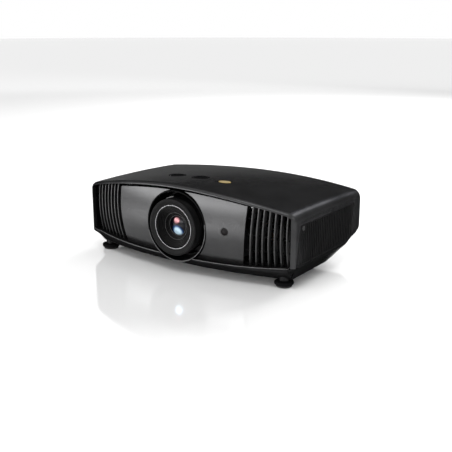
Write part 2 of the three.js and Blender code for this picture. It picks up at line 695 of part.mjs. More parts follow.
function lowerCase() {
  const hollow = loft(trayStations(wall).map(trayCavitySection), alongX);
  const tray = cut(loft(trayStations(0).map(traySection), alongX), [hollow]);
  const places = Object.values(feetPlaces);
  const bosses = places.map(([x, y]) => pin('z', boss.radius, boss.foot, boss.top, x, y));
  const fanHalf = fan.size / 2 - postInset;
  const intakePostX = intakeX + fan.depth / 2 - postInset / 2;
  const posts = [
    ...postsUnder(engineLeft, engineRight, mountFront + engine.plate, sweepStart, seat),
    ...postsUnder(supplyLeft, supplyRight, supplyFront, sweepStart, seat),
    ...postsUnder(lampLeft, lampRight - postInset, lampFront, sweepStart, seat),
    ...postsUnder(boardLeft, boardRight, boardFront, boardRear, board.height - clearance),
    ...[-fanHalf, fanHalf - postInset].map((aside) => post(exhaustX + aside, exhaustY, seat)),
    ...ends.map((end) => post(intakePostX, intakeY + end * fanHalf, intakeFan.foot)),
  ];
  const tools = [
    surroundHole(-surroundBack + clearance),
    ...places.map(([x, y]) => pin('z', foot.stem + clearance, -overrun, boss.top + overrun, x, y)),
  ];
  return cut(join([tray, ...bosses, ...posts]), tools);
}

// Front panel and front grilles

const panelSetback = (z) => panelCrestSetback + (z - panelCrestHeight) ** 2 / (2 * panelCurve);
const panelHalf = (z) => {
  const below = cornerBrimHeight + brimHeight + panelSetback(0) / 2 - z;
  return panelTopHalf - Math.max(0, below) ** 2 / (2 * panelEdgeRadius);
};
const faceY = (x, z) => frontEdge(Math.min(Math.abs(x), postHalf)) + panelSetback(z);
const panelFoot = (x) => lipHeight(x) + clearance;
const panelHead = (x) => brimUnder(x) - brimGap;

// A curved sheet behind the brim: from edge a to edge b at every height, near to far behind the face.
function curvedSheet([a, b], [foot, head], [near, far], across, up) {
  const loops = range(up + 1).map((j) => {
    const row = range(across + 1).map((i) => {
      const guess = mix(a(foot(0)), b(foot(0)), i / across);
      const z = mix(foot(guess), head(guess), j / up);
      return [mix(a(z), b(z), i / across), z];
    });
    const front = row.map(([x, z]) => [x, faceY(x, z) + near, z]);
    const back = row.map(([x, z]) => [x, faceY(x, z) + far, z]).reverse();
    return [...front, ...back];
  });
  return loft(loops, alongZ);
}

// Hole or window that stands square to the bowed front at its own place.
function acrossFront(radius, near, far, x, z) {
  const turn = Math.atan2(2 * frontBow * x, halfWidth ** 2);
  const geometry = new THREE.CylinderGeometry(radius, radius, far - near, innerSegments);
  return solid(geometry.translate(0, (far + near) / 2, 0).rotateZ(turn).translate(x, faceY(x, z), z));
}

function frontPanel() {
  const edges = [(z) => -panelHalf(z), panelHalf];
  const sheet = curvedSheet(edges, [panelFoot, panelHead], [0, panelThickness], panelAcross, panelUp);
  return cut(sheet, [
    surroundHole(-surroundBack),
    acrossFront(irWindow.radius + clearance, -overrun, overrun, irWindow.across, irWindow.height),
  ]);
}

function frontGrille(side) {
  const edges = [(z) => side * (panelHalf(z) + looseGap), () => side * (postHalf - looseGap)];
  const head = (x) => brimUnder(x) - clearance;
  const back = ribDepth - looseGap;
  const across = (low, high, near) => curvedSheet(edges, [low, high], [near, back], railAcross, 1);
  const ribs = range(ribCount).map((i) => {
    const edge = (aside) => (z) => mix(edges[0](z), edges[1](z), (i + 1) / (ribCount + 1)) + aside;
    const [low, high] = [(x) => panelFoot(x) + looseGap, (x) => head(x) - looseGap];
    return curvedSheet([edge(-ribWidth / 2), edge(ribWidth / 2)], [low, high], [0, ribDepth], 1, ribUp);
  });
  const middle = (x) => (panelFoot(x) + head(x)) / 2;
  return join([
    ...ribs,
    across(panelFoot, (x) => panelFoot(x) + railHeight, railFront),
    across(middle, (x) => middle(x) + stiffener.height, stiffener.front),
    across((x) => head(x) - railHeight, head, railFront),
  ]);
}

// Side vents: plates with upright slots, between the leaning front edge and the stepped foot

function slotRange(y, foot, rear) {
  const reach = sidePlate.gap + sidePlate.margin;
  const [[y0, z0], [y1, z1]] = ventCorners(0);
  const front = z0 + ((y - y0 - reach) * (z1 - z0)) / (y1 - y0);
  const points = [[y0, z0], ...foot, [rear, ventTopHeight]];
  const next = points.findIndex(([along]) => along > y);
  if (next < 1) return [ventTopHeight, front];
  const [[ya, za], [yb, zb]] = [points[next - 1], points[next]];
  return [mix(za, zb, clamp((y - ya) / (yb - ya))), Math.min(ventTopHeight - sidePlate.gap, front)];
}

function slottedPlate(rear, foot, from) {
  const pitch = sidePlate.slot + sidePlate.rib;
  const first = ventFootY + sidePlate.gap;
  const last = rear - sidePlate.gap;
  const count = Math.floor((last - first - 2 * sidePlate.margin) / pitch);
  const start = first + (last - first - count * pitch + sidePlate.rib) / 2;
  const slots = range(count).flatMap((i) => {
    const y = start + i * pitch;
    const [near, far] = [slotRange(y, foot, rear), slotRange(y + sidePlate.slot, foot, rear)];
    const low = Math.max(near[0], far[0]) + sidePlate.margin;
    const high = Math.min(near[1], far[1]) - sidePlate.margin;
    const [x0, x1] = [from - overrun, from + overrun];
    return high - low > sidePlate.slot ? [block(x0, x1, y, y + sidePlate.slot, low, high)] : [];
  });
  return cut(prism('x', ventPlate(rear, foot), from, from + sidePlate.thickness), slots);
}

const screwY = ventTopY + screw.behind;
const screwZ = ventTopHeight - screw.below;

function lampCover() {
  const [radius, outside] = [screw.recess + sidePlate.margin, coverFace + sidePlate.thickness];
  const lug = pin('x', radius, coverFace - wall, outside, screwY, screwZ);
  const [near, far] = [coverFace - overrun, coverFace + overrun];
  return cut(slottedPlate(ventRearY, rightFoot, coverFace).add(lug), [
    pin('x', screw.recess, coverFace, far, screwY, screwZ),
    pin('x', screw.radius + clearance, near, far, screwY, screwZ, smallSegments),
  ]);
}

function lampScrew() {
  const [from, to] = [coverFace + clearance, coverFace + sidePlate.thickness - clearance];
  const head = pin('x', screw.head, from, to, screwY, screwZ);
  const tip = coverFace - screw.depth;
  const shank = pin('x', screw.radius, tip, from + clearance, screwY, screwZ, smallSegments);
  const [middle, half] = [coverFace + sidePlate.thickness / 2, screw.slot / 2];
  const cross = [[screw.recess, half], [half, screw.recess]].map(([dy, dz]) => (
    block(middle, middle + overrun, screwY - dy, screwY + dy, screwZ - dz, screwZ + dz)
  ));
  return cut(head.add(shank), cross);
}

// Lens, seen from the front: surround, focus ring, trim ring, stepped cell, glass

function lensSurround() {
  const { rim, floor } = surround;
  const [radius, throat, ledge] = [radii.surround, radii.surroundThroat, -surroundBack - floor];
  const rounding = rimShares.map(([into, behind]) => [radius - rim * into, -surroundFront + rim * behind]);
  return revolve('y', [
    [radius, -surroundBack], ...rounding, [radii.surroundMouth, -surroundFront + rim],
    [throat + rim, ledge], [throat, ledge], [throat, -surroundBack],
  ], 0, lensHeight, rimSegments);
}

function focusRing() {
  const { edge, dip } = focus;
  const [face, bore] = [radii.focusFace, radii.focusBore];
  const rounding = focusEdgeShares.map(([into, behind]) => (
    [mix(focusRadius, face, into), -lensFront + edge * behind]
  ));
  return revolve('y', [
    [bore, -focusBack], [focusRadius, -focusBack], ...rounding, [face, -lensFront],
    [bore + dip, -lensFront + dip], [bore, -lensFront + dip],
  ], 0, lensHeight, rimSegments);
}

function trimRing() {
  const front = -lensFront + focus.dip + trim.dip;
  const [inner, outer] = [radii.trimBore, radii.trim];
  return revolve('y', [
    [inner, front + trim.depth], [outer, front + trim.depth], [outer, front + trim.crown],
    [(inner + outer) / 2, front], [inner, front + trim.crown],
  ], 0, lensHeight);
}

// The focusing cell: a black cone stepped down to the glass.
function focusCell() {
  const foot = -cellBack - cell.pocket;
  const steps = range(cellSteps).flatMap((i) => {
    const [a, b] = [i / cellSteps, (i + 1) / cellSteps];
    const [wide, narrow] = [a, b].map((part) => mix(radii.cellMouth, radii.cellThroat, part));
    const ledge = mix(wide, narrow, cellLedgeShare);
    return [[wide, mix(-cellFront, foot, a)], [ledge, mix(-cellFront, foot, b)]];
  });
  const bed = -cellBack - glass.edge;
  return revolve('y', [
    [radii.cell, -cellBack], [radii.cell, -cellFront], ...steps, [radii.glass + clearance, foot],
    [radii.glass + clearance, bed], [radii.cellBore, bed], [radii.cellBore, -cellBack],
  ], 0, lensHeight);
}

// A dome of this radius and bulge, from its middle to its rim.
function dome(radius, front, bulge) {
  const shares = range(domeSteps + 1).map((i) => i / domeSteps);
  return shares.map((s) => [radius * s, front - bulge * (1 - s ** 2)]);
}

function frontGlass() {
  const back = -cellBack - glass.edge - clearance;
  const front = back - glass.edge;
  const profile = [...dome(radii.glass, front, glass.bulge), [radii.glass, back], [0, back]];
  return revolve('y', profile, 0, lensHeight, innerSegments);
}

function zoomGroup() {
  const [front, back] = [-groupFront, -groupFront + group.length];
  const rim = [[radii.group, front], [radii.group, back], [0, back]];
  return revolve('y', [...dome(radii.groupGlass, front, group.bulge), ...rim], 0, lensHeight);
}

function zoomRing() {
  const front = -focusBack + clearance;
  const ring = revolve('y', [
    [radii.zoomBore, front], [radii.zoom, front], [radii.zoom, -zoomBack], [radii.zoomBore, -zoomBack],
  ], 0, lensHeight);
  const tab = new THREE.Shape();
  const middle = quarter + tabAngle;
  tab.absarc(0, lensHeight, radii.zoomTab, middle - tabHalfAngle, middle + tabHalfAngle);
  tab.absarc(0, lensHeight, radii.zoom - zoom.tabRoot, middle + tabRootAngle, middle - tabRootAngle, true);
  return ring.add(prism('y', tab, front + looseGap, -zoomBack - wall));
}

function lensBarrel() {
  const flangeBack = -plateFront - clearance;
  const [zoomSeat, focusSeat] = [radii.zoomBore * lensFlat - clearance, radii.focusBore - clearance];
  const [zoomFoot, focusStep] = [-zoomBack + clearance, -focusBack + focus.seat];
  const [focusFoot, room] = [-focusBack - wall, radii.cell + looseGap];
  const roomEnd = -cellBack + barrelRoom.behind;
  return revolve('y', [
    [radii.barrelBore, -barrelRear], [radii.barrelRear, -barrelRear], [radii.barrelRear, flangeBack],
    [radii.flange, flangeBack], [radii.flange, -shoulder], [radii.barrel, -shoulder - wall],
    [radii.barrel, zoomFoot], [zoomSeat, zoomFoot], [zoomSeat, focusStep], [focusSeat, focusStep],
    [focusSeat, focusFoot], [room, focusFoot], [room, roomEnd],
    [radii.barrelBore, roomEnd + barrelRoom.taper],
  ], 0, lensHeight);
}

// Shift plates: the front one slides across on the rear one, which slides up and down on the engine

// A round hole drawn out by half its travel each way.
function slotted(halfAcross, halfUp, radius) {
  const hole = new THREE.Shape();
  [[1, 1], [-1, 1], [-1, -1], [1, -1]].forEach(([aside, above], i) => {
    const [x, z] = [aside * halfAcross, lensHeight + above * halfUp];
    hole.absarc(x, z, radius, i * quarter, (i + 1) * quarter);
  });
  return hole.getPoints(arcPoints);
}

function plateOf(width, height, hole, front, corner) {
  const shape = roundedBox(-width / 2, width / 2, lensHeight - height / 2, lensHeight + height / 2, corner);
  shape.holes.push(new THREE.Path(hole));
  return prism('y', shape, front, front + shift.plate);
}

const boreRadius = radii.barrelRear + shift.free;

function horizontalPlate() {
  const [width, height] = [shiftWidth - shift.margin, shiftHeight - 2 * (shift.slide + clearance)];
  return plateOf(width, height, slotted(0, 0, radii.barrelRear + looseGap), -plateFront, shift.round);
}

function verticalPlate() {
  const hole = slotted(shift.across, 0, boreRadius);
  const plate = plateOf(shiftWidth, shiftHeight, hole, slideFront, shift.round);
  const [halfAcross, halfUp] = [shiftWidth / 2 - shift.round, shift.slide / 2];
  const rails = ends.map((side) => {
    const edge = lensHeight + side * (shiftHeight / 2 - halfUp);
    return plug(0, halfAcross, -plateFront, slideFront + bite, edge, halfUp);
  });
  return join([plate, ...rails]);
}

// Optical engine: light box with a lens wall, and the chip's heat sink behind

function opticalEngine() {
  const e = engine;
  const [front, top] = [mountFront + e.plate - bite, partFoot + e.height];
  const box = prism('z', roundedBox(engineLeft, engineRight, front, engineRear, e.round), partFoot, top);
  const half = -engineLeft - e.round;
  const hoodShape = roundedBox(-half, half, front, engineRear - e.hoodEnd, e.round);
  const hood = prism('z', hoodShape, top - bite, top + e.hood);
  const lensTop = lensHeight + shiftHeight / 2 + shift.up;
  const lensWall = roundedBox(engineLeft, -engineLeft, partFoot, lensTop, e.round / 2);
  const plate = prism('y', lensWall, mountFront, mountFront + e.plate);
  const hole = new THREE.Shape(slotted(shift.across, shift.up, boreRadius));
  const bore = prism('y', hole, mountFront - bite, -barrelRear + e.boreReach);
  const portZ = wheelZ - wheel.light;
  const port = pin('x', e.port, engineRight - e.round, engineRight + bite, lampMiddle, portZ);
  const ribs = range(engineRibs).map((i) => {
    const [x, rear] = [engineLeft + e.round + i * engineRib.pitch, engineRear - e.round];
    return block(x, x + engineRib.width, rear - engineRib.length, rear, top - bite, top + engineRib.height);
  });
  const guides = ends.map((side) => {
    const x = side * (shiftWidth / 2 + clearance + shift.slide / 2);
    return plug(x, shift.slide / 2, slideFront, mountFront + bite, lensHeight, shiftHeight / 2);
  });
  return cut(join([box, hood, plate, ...ribs, ...guides]), [bore, port]);
}

function colourWheel() {
  const disc = pin('x', wheel.radius, wheelX, wheelX + wheel.thickness, lampMiddle, wheelZ, innerSegments);
  return disc.add(pin('x', wheel.hub, wheelX - wheel.hubDepth, wheelX + wheel.cap, lampMiddle, wheelZ));
}

function heatSink() {
  const [left, right] = [engineMiddle - sink.width / 2, engineMiddle + sink.width / 2];
  const [front, low] = [engineRear + clearance, partFoot + sink.rise];
  const base = block(left, right, front, front + sink.base, low, low + sink.height);
  const fins = range(finCount).map((i) => {
    const x = mix(left, right - sink.fin, i / (finCount - 1));
    return block(x, x + sink.fin, front + sink.base - bite, front + sink.depth, low, low + sink.height);
  });
  return join([base, ...fins]);
}

function lampModule() {
  const l = lamp;
  const [top, middleZ] = [partFoot + l.height, partFoot + l.height / 2];
  const body = prism('z', roundedBox(lampLeft, lampRight, lampFront, lampRear, l.round), partFoot, top);
  const bowl = bowlShares.map(([radius, depth]) => [l.mouth * radius, lampLeft + l.bowl * depth]);
  const mouth = revolve('x', [
    [0, lampLeft - bite], [l.mouth, lampLeft - bite], ...bowl, [0, lampLeft + l.bowl],
  ], lampMiddle, middleZ, pinSegments);
  const burnerFoot = lampLeft + l.bowl + bite;
  const burnerTip = lampLeft + l.bowl * burnerShare;
  const burner = pin('x', l.burner, burnerTip, burnerFoot, lampMiddle, middleZ, smallSegments);
  return join([cut(body, [mouth]), burner, lampGrip(top)]);
}

function lampGrip(top) {
  const h = lampHandle;
  const [x0, x1] = [lampLeft + h.inset, lampRight - h.inset];
  const shape = roundedBox(x0, x1, top - h.root, top + h.rise, h.grip);
  const hole = roundedBox(x0 + h.grip, x1 - h.grip, top + clearance, top + h.rise - h.grip, h.round);
  shape.holes.push(new THREE.Path(hole.getPoints(cornerSegments)));
  return prism('y', shape, lampMiddle - h.width / 2, lampMiddle + h.width / 2);
}

// Axial fans, first about Y, then turned to where they blow

function fanFrame(place) {
  const [half, rear] = [fan.size / 2, fan.depth / 2];
  const shape = roundedBox(-half, half, -half, half, fan.corner);
  const bore = new THREE.Path().absarc(0, 0, fanBore, 0, Math.PI * 2);
  shape.holes.push(new THREE.Path(bore.getPoints(borePoints)));
  const frame = prism('y', shape, -rear, rear);
  const hub = pin('y', fan.hub, rear - fan.strutDepth, rear, 0, 0);
  const struts = range(4).map((i) => {
    const strut = new THREE.BoxGeometry(fanBore + bite, fan.strutDepth, fan.strut);
    strut.translate((fanBore + bite) / 2, rear - fan.strutDepth / 2, 0);
    return solid(strut.rotateY((i + 1 / 2) * quarter));
  });
  return place(join([frame, hub, ...struts]));
}

function fanImpeller(place) {
  const [front, rear] = [-fan.depth / 2 + fan.blade, fan.depth / 2 - fan.strutDepth - clearance];
  const hub = pin('y', fan.hub, front, rear, 0, 0);
  const root = fan.hub - fan.blade;
  const blades = range(bladeCount).map((i) => {
    const blade = new THREE.BoxGeometry(bladeTip - root, bladeLength, fan.blade);
    blade.translate((bladeTip + root) / 2, 0, 0).rotateX(fanTilt).translate(0, (front + rear) / 2, 0);
    return solid(blade.rotateY((i * 2 * Math.PI) / bladeCount));
  });
  return place(join([hub, ...blades]));
}

const intakeZ = intakeFan.foot + clearance + fan.size / 2;
const leftwards = [0, 0, THREE.MathUtils.radToDeg(quarter)];
const atIntake = (body) => body.rotate(leftwards).translate([intakeX, intakeY, intakeZ]);
const atExhaust = (body) => body.translate([exhaustX, exhaustY, partFoot + fan.size / 2]);

function mainBoard() {
  const top = board.height + board.thickness;
  const plate = block(boardLeft, boardRight, boardFront, boardRear, board.height, top);
  const chips = chipShares.map((place, i) => {
    const x = mix(boardLeft, boardRight, place);
    const size = i % 2 ? chip.size * smallChipShare : chip.size;
    const y = boardFront + chip.setback;
    return block(x, x + size, y, y + size, top - board.thickness / 2, top + chip.height);
  });
  return join([plate, ...chips]);
}

function powerSupply() {
  const top = partFoot + supply.height;
  const shape = roundedBox(supplyLeft, supplyRight, supplyFront, supplyRear, supply.round);
  const box = prism('z', shape, partFoot, top);
  const slots = range(slotCount).map((i) => {
    const y = mix(supplyFront, supplyRear, (i + 1) / (slotCount + 1));
    const [x0, x1] = [supplyLeft + supply.border, supplyRight - supply.border];
    return block(x0, x1, y, y + supply.slot, top - supply.lid, top + overrun);
  });
  return cut(box, slots);
}

// Connector bay and its sockets, each at its share of the bay

const bayX = (place) => bay.half * place;

function boxSocket(spec, place) {
  const [w, h, x] = [spec.width / 2, spec.height / 2, bayX(place)];
  const [rear, front] = [bayFace + spec.proud - spec.depth, bayFace + spec.proud];
  const [inner, near] = [w - spec.wall, rear + 2 * spec.wall];
  const hollow = plug(x, inner, near, front + overrun, socketHeight, h - spec.wall);
  return plug(x, w, rear, front, socketHeight, h).subtract(hollow);
}

function withTongue(spec, place) {
  const front = bayFace + spec.proud;
  const [rear, tip] = [front - spec.depth + spec.wall, front - 2 * spec.wall];
  const tongue = plug(bayX(place), spec.tongueWidth / 2, rear, tip, socketHeight, spec.tongue / 2);
  return boxSocket(spec, place).add(tongue);
}

function inletSocket() {
  const s = inlet;
  const [x, z, front] = [bayX(inletShare), socketHeight, bayFace + s.proud];
  const [w, h, rear] = [s.width / 2, s.height / 2, front - s.depth];
  const face = roundedBox(x - s.flangeHalf, x + s.flangeHalf, z - s.flangeUp, z + s.flangeUp, s.round);
  const flange = prism('y', face, bayFace + clearance, front);
  const hollow = plug(x, w - s.wall, rear + s.wall, front + overrun, z, h - s.wall);
  const pins = [-1, 0, 1].map((k) => {
    const rise = (k ? -1 : 1) * (inletPin.height / 2);
    const [root, tip, across] = [rear + inletPin.foot, front - inletPin.back, x + k * inletPin.pitch];
    return plug(across, inletPin.width / 2, root, tip, z + rise, inletPin.height / 2);
  });
  return join([plug(x, w, rear, front, z, h).add(flange).subtract(hollow), ...pins]);
}

function serialSocket() {
  const s = serial;
  const [x, z, near] = [bayX(serialShare), socketHeight, bayFace + clearance];
  const face = roundedBox(x - s.width / 2, x + s.width / 2, z - s.height / 2, z + s.height / 2, s.wall);
  const taper = (inset, from, to) => prism('y', outline([
    [x - s.foot + inset, z - s.half + inset], [x + s.foot - inset, z - s.half + inset],
    [x + s.head - inset, z + s.half - inset], [x - s.head + inset, z + s.half - inset],
  ]), from, to);
  const front = bayFace + s.proud;
  const nuts = ends.map((side) => pin('y', s.nut, near, front, x + side * s.nutAt, z, smallSegments));
  const bodies = [prism('y', face, near, near + s.wall), taper(0, front - s.depth, front), ...nuts];
  return cut(join(bodies), [taper(s.wall, near + s.wall, bayFace + overrun)]);
}

function jackSocket(place) {
  const [x, front] = [bayX(place), bayFace + jack.proud];
  const rear = front - jack.depth;
  const bore = pin('y', jack.bore, rear + jack.bore, bayFace + overrun, x, socketHeight, smallSegments);
  return cut(pin('y', jack.radius, rear, front, x, socketHeight), [bore]);
}

function rearPanel() {
  const tub = bayBlock(clearance).subtract(bayBlock(bay.thickness).translate([0, bay.thickness, 0]));
  const trimmed = tub.intersect(cavity.translate([0, -clearance, 0]));
  const [near, far] = [bayPlate - overrun, bayPlate + overrun];
  const hole = (place, width, height) => (
    plug(bayX(place), width / 2 + clearance, near, far, socketHeight, height / 2 + clearance)
  );
  return cut(trimmed, [
    hole(inletShare, inlet.width, inlet.height),
    ...hdmiShares.map((place) => hole(place, hdmi.width, hdmi.height)),
    hole(usbShare, usb.width, usb.height),
    hole(lanShare, lan.width, lan.height),
    hole(serialShare, 2 * serial.head, 2 * serial.half),
    ...jackShares.map((place) => pin('y', jack.radius + clearance, near, far, bayX(place), socketHeight)),
  ]);
}

// Keys: a ring of four and a centre key in one opening, four small keys round it

function arrowKey(turn) {
  const shape = new THREE.Shape();
  const halfAngle = (radius) => quarter / 2 - keyRing.gap / 2 / radius;
  const [outer, inner] = [halfAngle(keyRing.radius), halfAngle(keyRing.bore)];
  shape.absarc(0, 0, keyRing.radius, -outer, outer);
  shape.absarc(0, 0, keyRing.bore, inner, -inner, true);
  const key = prism('z', shape, keyFront, keyFront + keys.depth);
  const turned = key.rotate([0, 0, THREE.MathUtils.radToDeg(turn)]);
  return turned.transform(frames.x.toArray()).translate([0, keyY, keyZ]);
}

function roundKey(radius, [y, z]) {
  const [edge, back] = [keyFront + keys.proud / 2, keyFront + keys.depth];
  return revolve('x', [
    [0, keyFront], [radius * keyFaceShare, keyFront], [radius, edge], [radius, back], [0, back],
  ], y, z, pinSegments);
}

function keypadBoard() {
  const [w, h] = [keyBoard.across, keyBoard.up];
  return block(keyBoardFace, keyBoardFace + keyBoard.thickness, keyY - w, keyY + w, keyZ - h, keyZ + h);
}

// Feet and shift dials

function footPad([x, y]) {
  return revolve('z', [
    [0, 0], [pad.radius - pad.edge, 0], [pad.radius, pad.edge], [pad.radius, pad.height], [0, pad.height],
  ], x, y, pinSegments);
}

function footWheel([x, y]) {
  const [low, top] = [pad.height + clearance, foot.top];
  const body = revolve('z', [
    [0, low], [foot.radius, low], [foot.radius, top - foot.flute], [foot.radius * crownShare, top],
    [foot.stem, top], [foot.stem, foot.reach], [0, foot.reach],
  ], x, y, pinSegments);
  const ring = foot.radius + foot.fluteOut;
  return cut(body, flutes(ring, foot.flute, footFlutes, low - bite, top + bite, x, y));
}

function shiftDial(x) {
  const floor = dialFloor(x) + clearance;
  const top = dialFloor(x) + dial.dishDepth + dial.rise;
  const { radius, stem, reach, edge, dip } = dial;
  const body = revolve('z', [
    [0, floor - reach], [stem, floor - reach], [stem, floor], [radius, floor], [radius, top - dial.rise],
    [radius - edge, top], [radius * dialFaceShare, top - dip], [0, top - dip],
  ], x, dialY, innerSegments);
  const { radius: size, out } = dialFlute;
  return cut(body, flutes(radius + out, size, dialFlutes, floor - bite, top + bite, x, dialY));
}

// Finishes

function finish(color, roughness, metalness = 0) {
  return new THREE.MeshStandardMaterial({ color, roughness, metalness });
}

const finishes = {
  matteBlack: finish(0x1b1b1c, 0.62),
  graphite: finish(0x4c4c4d, 0.38, 0.75),
  gloss: finish(0x08080a, 0.16),
  silver: finish(0xc9c9cc, 0.24, 1),
  glass: finish(0x18202c, 0.05, 0.1),
  lensBlack: finish(0x101012, 0.5),
  rubber: finish(0x141414, 0.9),
  brass: finish(0x9c7a24, 0.32, 0.9),
  steel: finish(0x9a9ca0, 0.35, 1),
  board: finish(0x1d4a33, 0.6),
  aluminium: finish(0xb5b7ba, 0.42, 0.9),
  smoked: finish(0x200c10, 0.14),
};

// The assembly

const projector = new THREE.Group();

function add(name, body, material) {
  const mesh = new THREE.Mesh(geometryOf(body), material);
  mesh.name = name;
  projector.add(mesh);
}

const inlaySides = [-inlay.pocket + clearance, inlay.thickness - inlay.pocket];
const leftFace = sidePlate.recess - halfWidth;
const irPane = acrossFront(irWindow.radius, clearance, irWindow.depth, irWindow.across, irWindow.height);
const arrows = ['rear', 'up', 'front', 'down'];
const jacks = ['audio_jack', 'trigger_jack'];

add('upper_case', upperCase(), finishes.matteBlack);
add('lower_case', lowerCase(), finishes.matteBlack);
add('front_panel', frontPanel(), finishes.graphite);
add('front_grille_left', frontGrille(-1), finishes.matteBlack);
add('front_grille_right', frontGrille(1), finishes.matteBlack);
add('side_grille_left', slottedPlate(keyVentRear, leftFoot, leftFace), finishes.matteBlack);
add('lamp_cover', lampCover(), finishes.matteBlack);
add('lamp_cover_screw', lampScrew(), finishes.steel);
add('rear_panel', rearPanel(), finishes.matteBlack);
add('lens_surround', lensSurround(), finishes.gloss);
add('lens_barrel', lensBarrel(), finishes.lensBlack);
add('zoom_ring', zoomRing(), finishes.lensBlack);
add('focus_ring', focusRing(), finishes.lensBlack);
add('focus_trim_ring', trimRing(), finishes.silver);
add('focus_cell', focusCell(), finishes.lensBlack);
add('front_lens', frontGlass(), finishes.glass);
add('zoom_group', zoomGroup(), finishes.glass);
add('shift_plate_vertical', verticalPlate(), finishes.aluminium);
add('shift_plate_horizontal', horizontalPlate(), finishes.aluminium);
add('shift_dial_vertical', shiftDial(dialAcross[0]), finishes.matteBlack);
add('shift_dial_horizontal', shiftDial(dialAcross[1]), finishes.matteBlack);
add('ir_window', irPane, finishes.smoked);
add('top_inlay', onTop(inlay.radius, ...inlaySides, inlay.across, inlayY), finishes.brass);

for (const [place, at] of Object.entries(feetPlaces)) {
  add(`foot_pad_${place}`, footPad(at), finishes.rubber);
  add(`foot_wheel_${place}`, footWheel(at), finishes.matteBlack);
}

arrows.forEach((way, i) => add(`key_${way}`, arrowKey(i * quarter), finishes.matteBlack));
add('key_ok', roundKey(keyRing.okRadius, [keyY, keyZ]), finishes.matteBlack);
for (const [name, place] of Object.entries(keyCentres)) {
  add(`key_${name}`, roundKey(keys.smallRadius, place), finishes.matteBlack);
}
add('keypad_board', keypadBoard(), finishes.board);

add('mains_inlet', inletSocket(), finishes.gloss);
hdmiShares.forEach((place, i) => add(`video_socket_${i + 1}`, withTongue(hdmi, place), finishes.steel));
add('usb_socket', withTongue(usb, usbShare), finishes.steel);
add('network_socket', boxSocket(lan, lanShare), finishes.steel);
add('serial_socket', serialSocket(), finishes.steel);
jacks.forEach((name, i) => add(name, jackSocket(jackShares[i]), finishes.gloss));

add('optical_engine', opticalEngine(), finishes.aluminium);
add('lamp_module', lampModule(), finishes.aluminium);
add('colour_wheel', colourWheel(), finishes.glass);
add('intake_fan_frame', fanFrame(atIntake), finishes.matteBlack);
add('intake_fan', fanImpeller(atIntake), finishes.matteBlack);
add('exhaust_fan_frame', fanFrame(atExhaust), finishes.matteBlack);
add('exhaust_fan', fanImpeller(atExhaust), finishes.matteBlack);
add('main_board', mainBoard(), finishes.board);
add('power_supply', powerSupply(), finishes.aluminium);
add('chip_heat_sink', heatSink(), finishes.aluminium);

export default projector;
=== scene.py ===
"""Looks of a home cinema projector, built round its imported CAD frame.

Every length is in metres, in the frame of the CAD model: +Z up, the front faces -Y, +X to the viewer's right.
"""

import json
import logging
import math
from collections.abc import Callable, Sequence
from dataclasses import dataclass
from enum import Enum

import bmesh
import bpy
from mathutils import Matrix, Vector

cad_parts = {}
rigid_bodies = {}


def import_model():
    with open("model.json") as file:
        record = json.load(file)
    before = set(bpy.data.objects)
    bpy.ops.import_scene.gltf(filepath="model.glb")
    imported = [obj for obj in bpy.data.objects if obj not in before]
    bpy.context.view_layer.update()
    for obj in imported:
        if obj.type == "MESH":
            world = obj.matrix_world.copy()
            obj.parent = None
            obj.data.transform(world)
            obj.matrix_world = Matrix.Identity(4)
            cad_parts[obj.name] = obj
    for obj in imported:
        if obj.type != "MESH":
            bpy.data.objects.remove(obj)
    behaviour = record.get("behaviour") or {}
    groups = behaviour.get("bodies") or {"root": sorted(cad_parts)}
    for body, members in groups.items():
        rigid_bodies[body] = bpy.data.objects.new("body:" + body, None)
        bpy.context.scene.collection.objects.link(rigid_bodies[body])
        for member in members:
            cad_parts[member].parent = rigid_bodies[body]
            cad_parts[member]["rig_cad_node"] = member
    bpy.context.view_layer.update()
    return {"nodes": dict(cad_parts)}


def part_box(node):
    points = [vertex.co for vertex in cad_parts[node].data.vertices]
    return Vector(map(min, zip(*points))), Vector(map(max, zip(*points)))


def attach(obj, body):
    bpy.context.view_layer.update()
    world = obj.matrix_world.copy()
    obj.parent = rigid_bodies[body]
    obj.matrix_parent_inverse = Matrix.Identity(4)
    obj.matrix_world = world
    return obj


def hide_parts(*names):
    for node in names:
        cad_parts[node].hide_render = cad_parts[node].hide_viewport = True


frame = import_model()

Point = tuple[float, float, float]
Pair = tuple[float, float]
Colour = tuple[float, float, float]
Curve = Callable[[float], float]
Piece = bpy.types.Object
Socket = bpy.types.NodeSocket

log = logging.getLogger("projector")

RUN_PAST = 0.03  # how far a cutter reaches past the body that it cuts
ENDLESS = 3.0  # size that takes in the whole projector
WELD = 1e-6  # distance within which two corners are one
HALF_TURN = math.pi
QUARTER = math.pi / 2
LENS_HEIGHT = 0.0908
DISC_PLACE: Pair = (0.0496, -0.0678)


class Axis(Enum):
    """Axis that a turned piece is turned about."""

    X = "x"
    Y = "y"
    Z = "z"


class Side(Enum):
    """Side of the projector, seen from the front."""

    LEFT = -1
    RIGHT = 1


class Mapping(Enum):
    """Ways to place a pattern: by a stretch, or by the box that it fills."""

    STRETCH = "POINT"
    BOX = "TEXTURE"


class Carve(Enum):
    """Ways to combine two closed meshes."""

    CUT = "DIFFERENCE"
    JOIN = "UNION"


def mix(low: float, high: float, share: float) -> float:
    """Value at a share of the way from low to high."""
    return low + (high - low) * share


def clamp(value: float) -> float:
    """Value kept between 0 and 1."""
    return min(1.0, max(0.0, value))


def spread(low: float, high: float, count: int) -> list[float]:
    """Evenly spaced values from low to high, both included."""
    return [mix(low, high, i / (count - 1)) for i in range(count)]


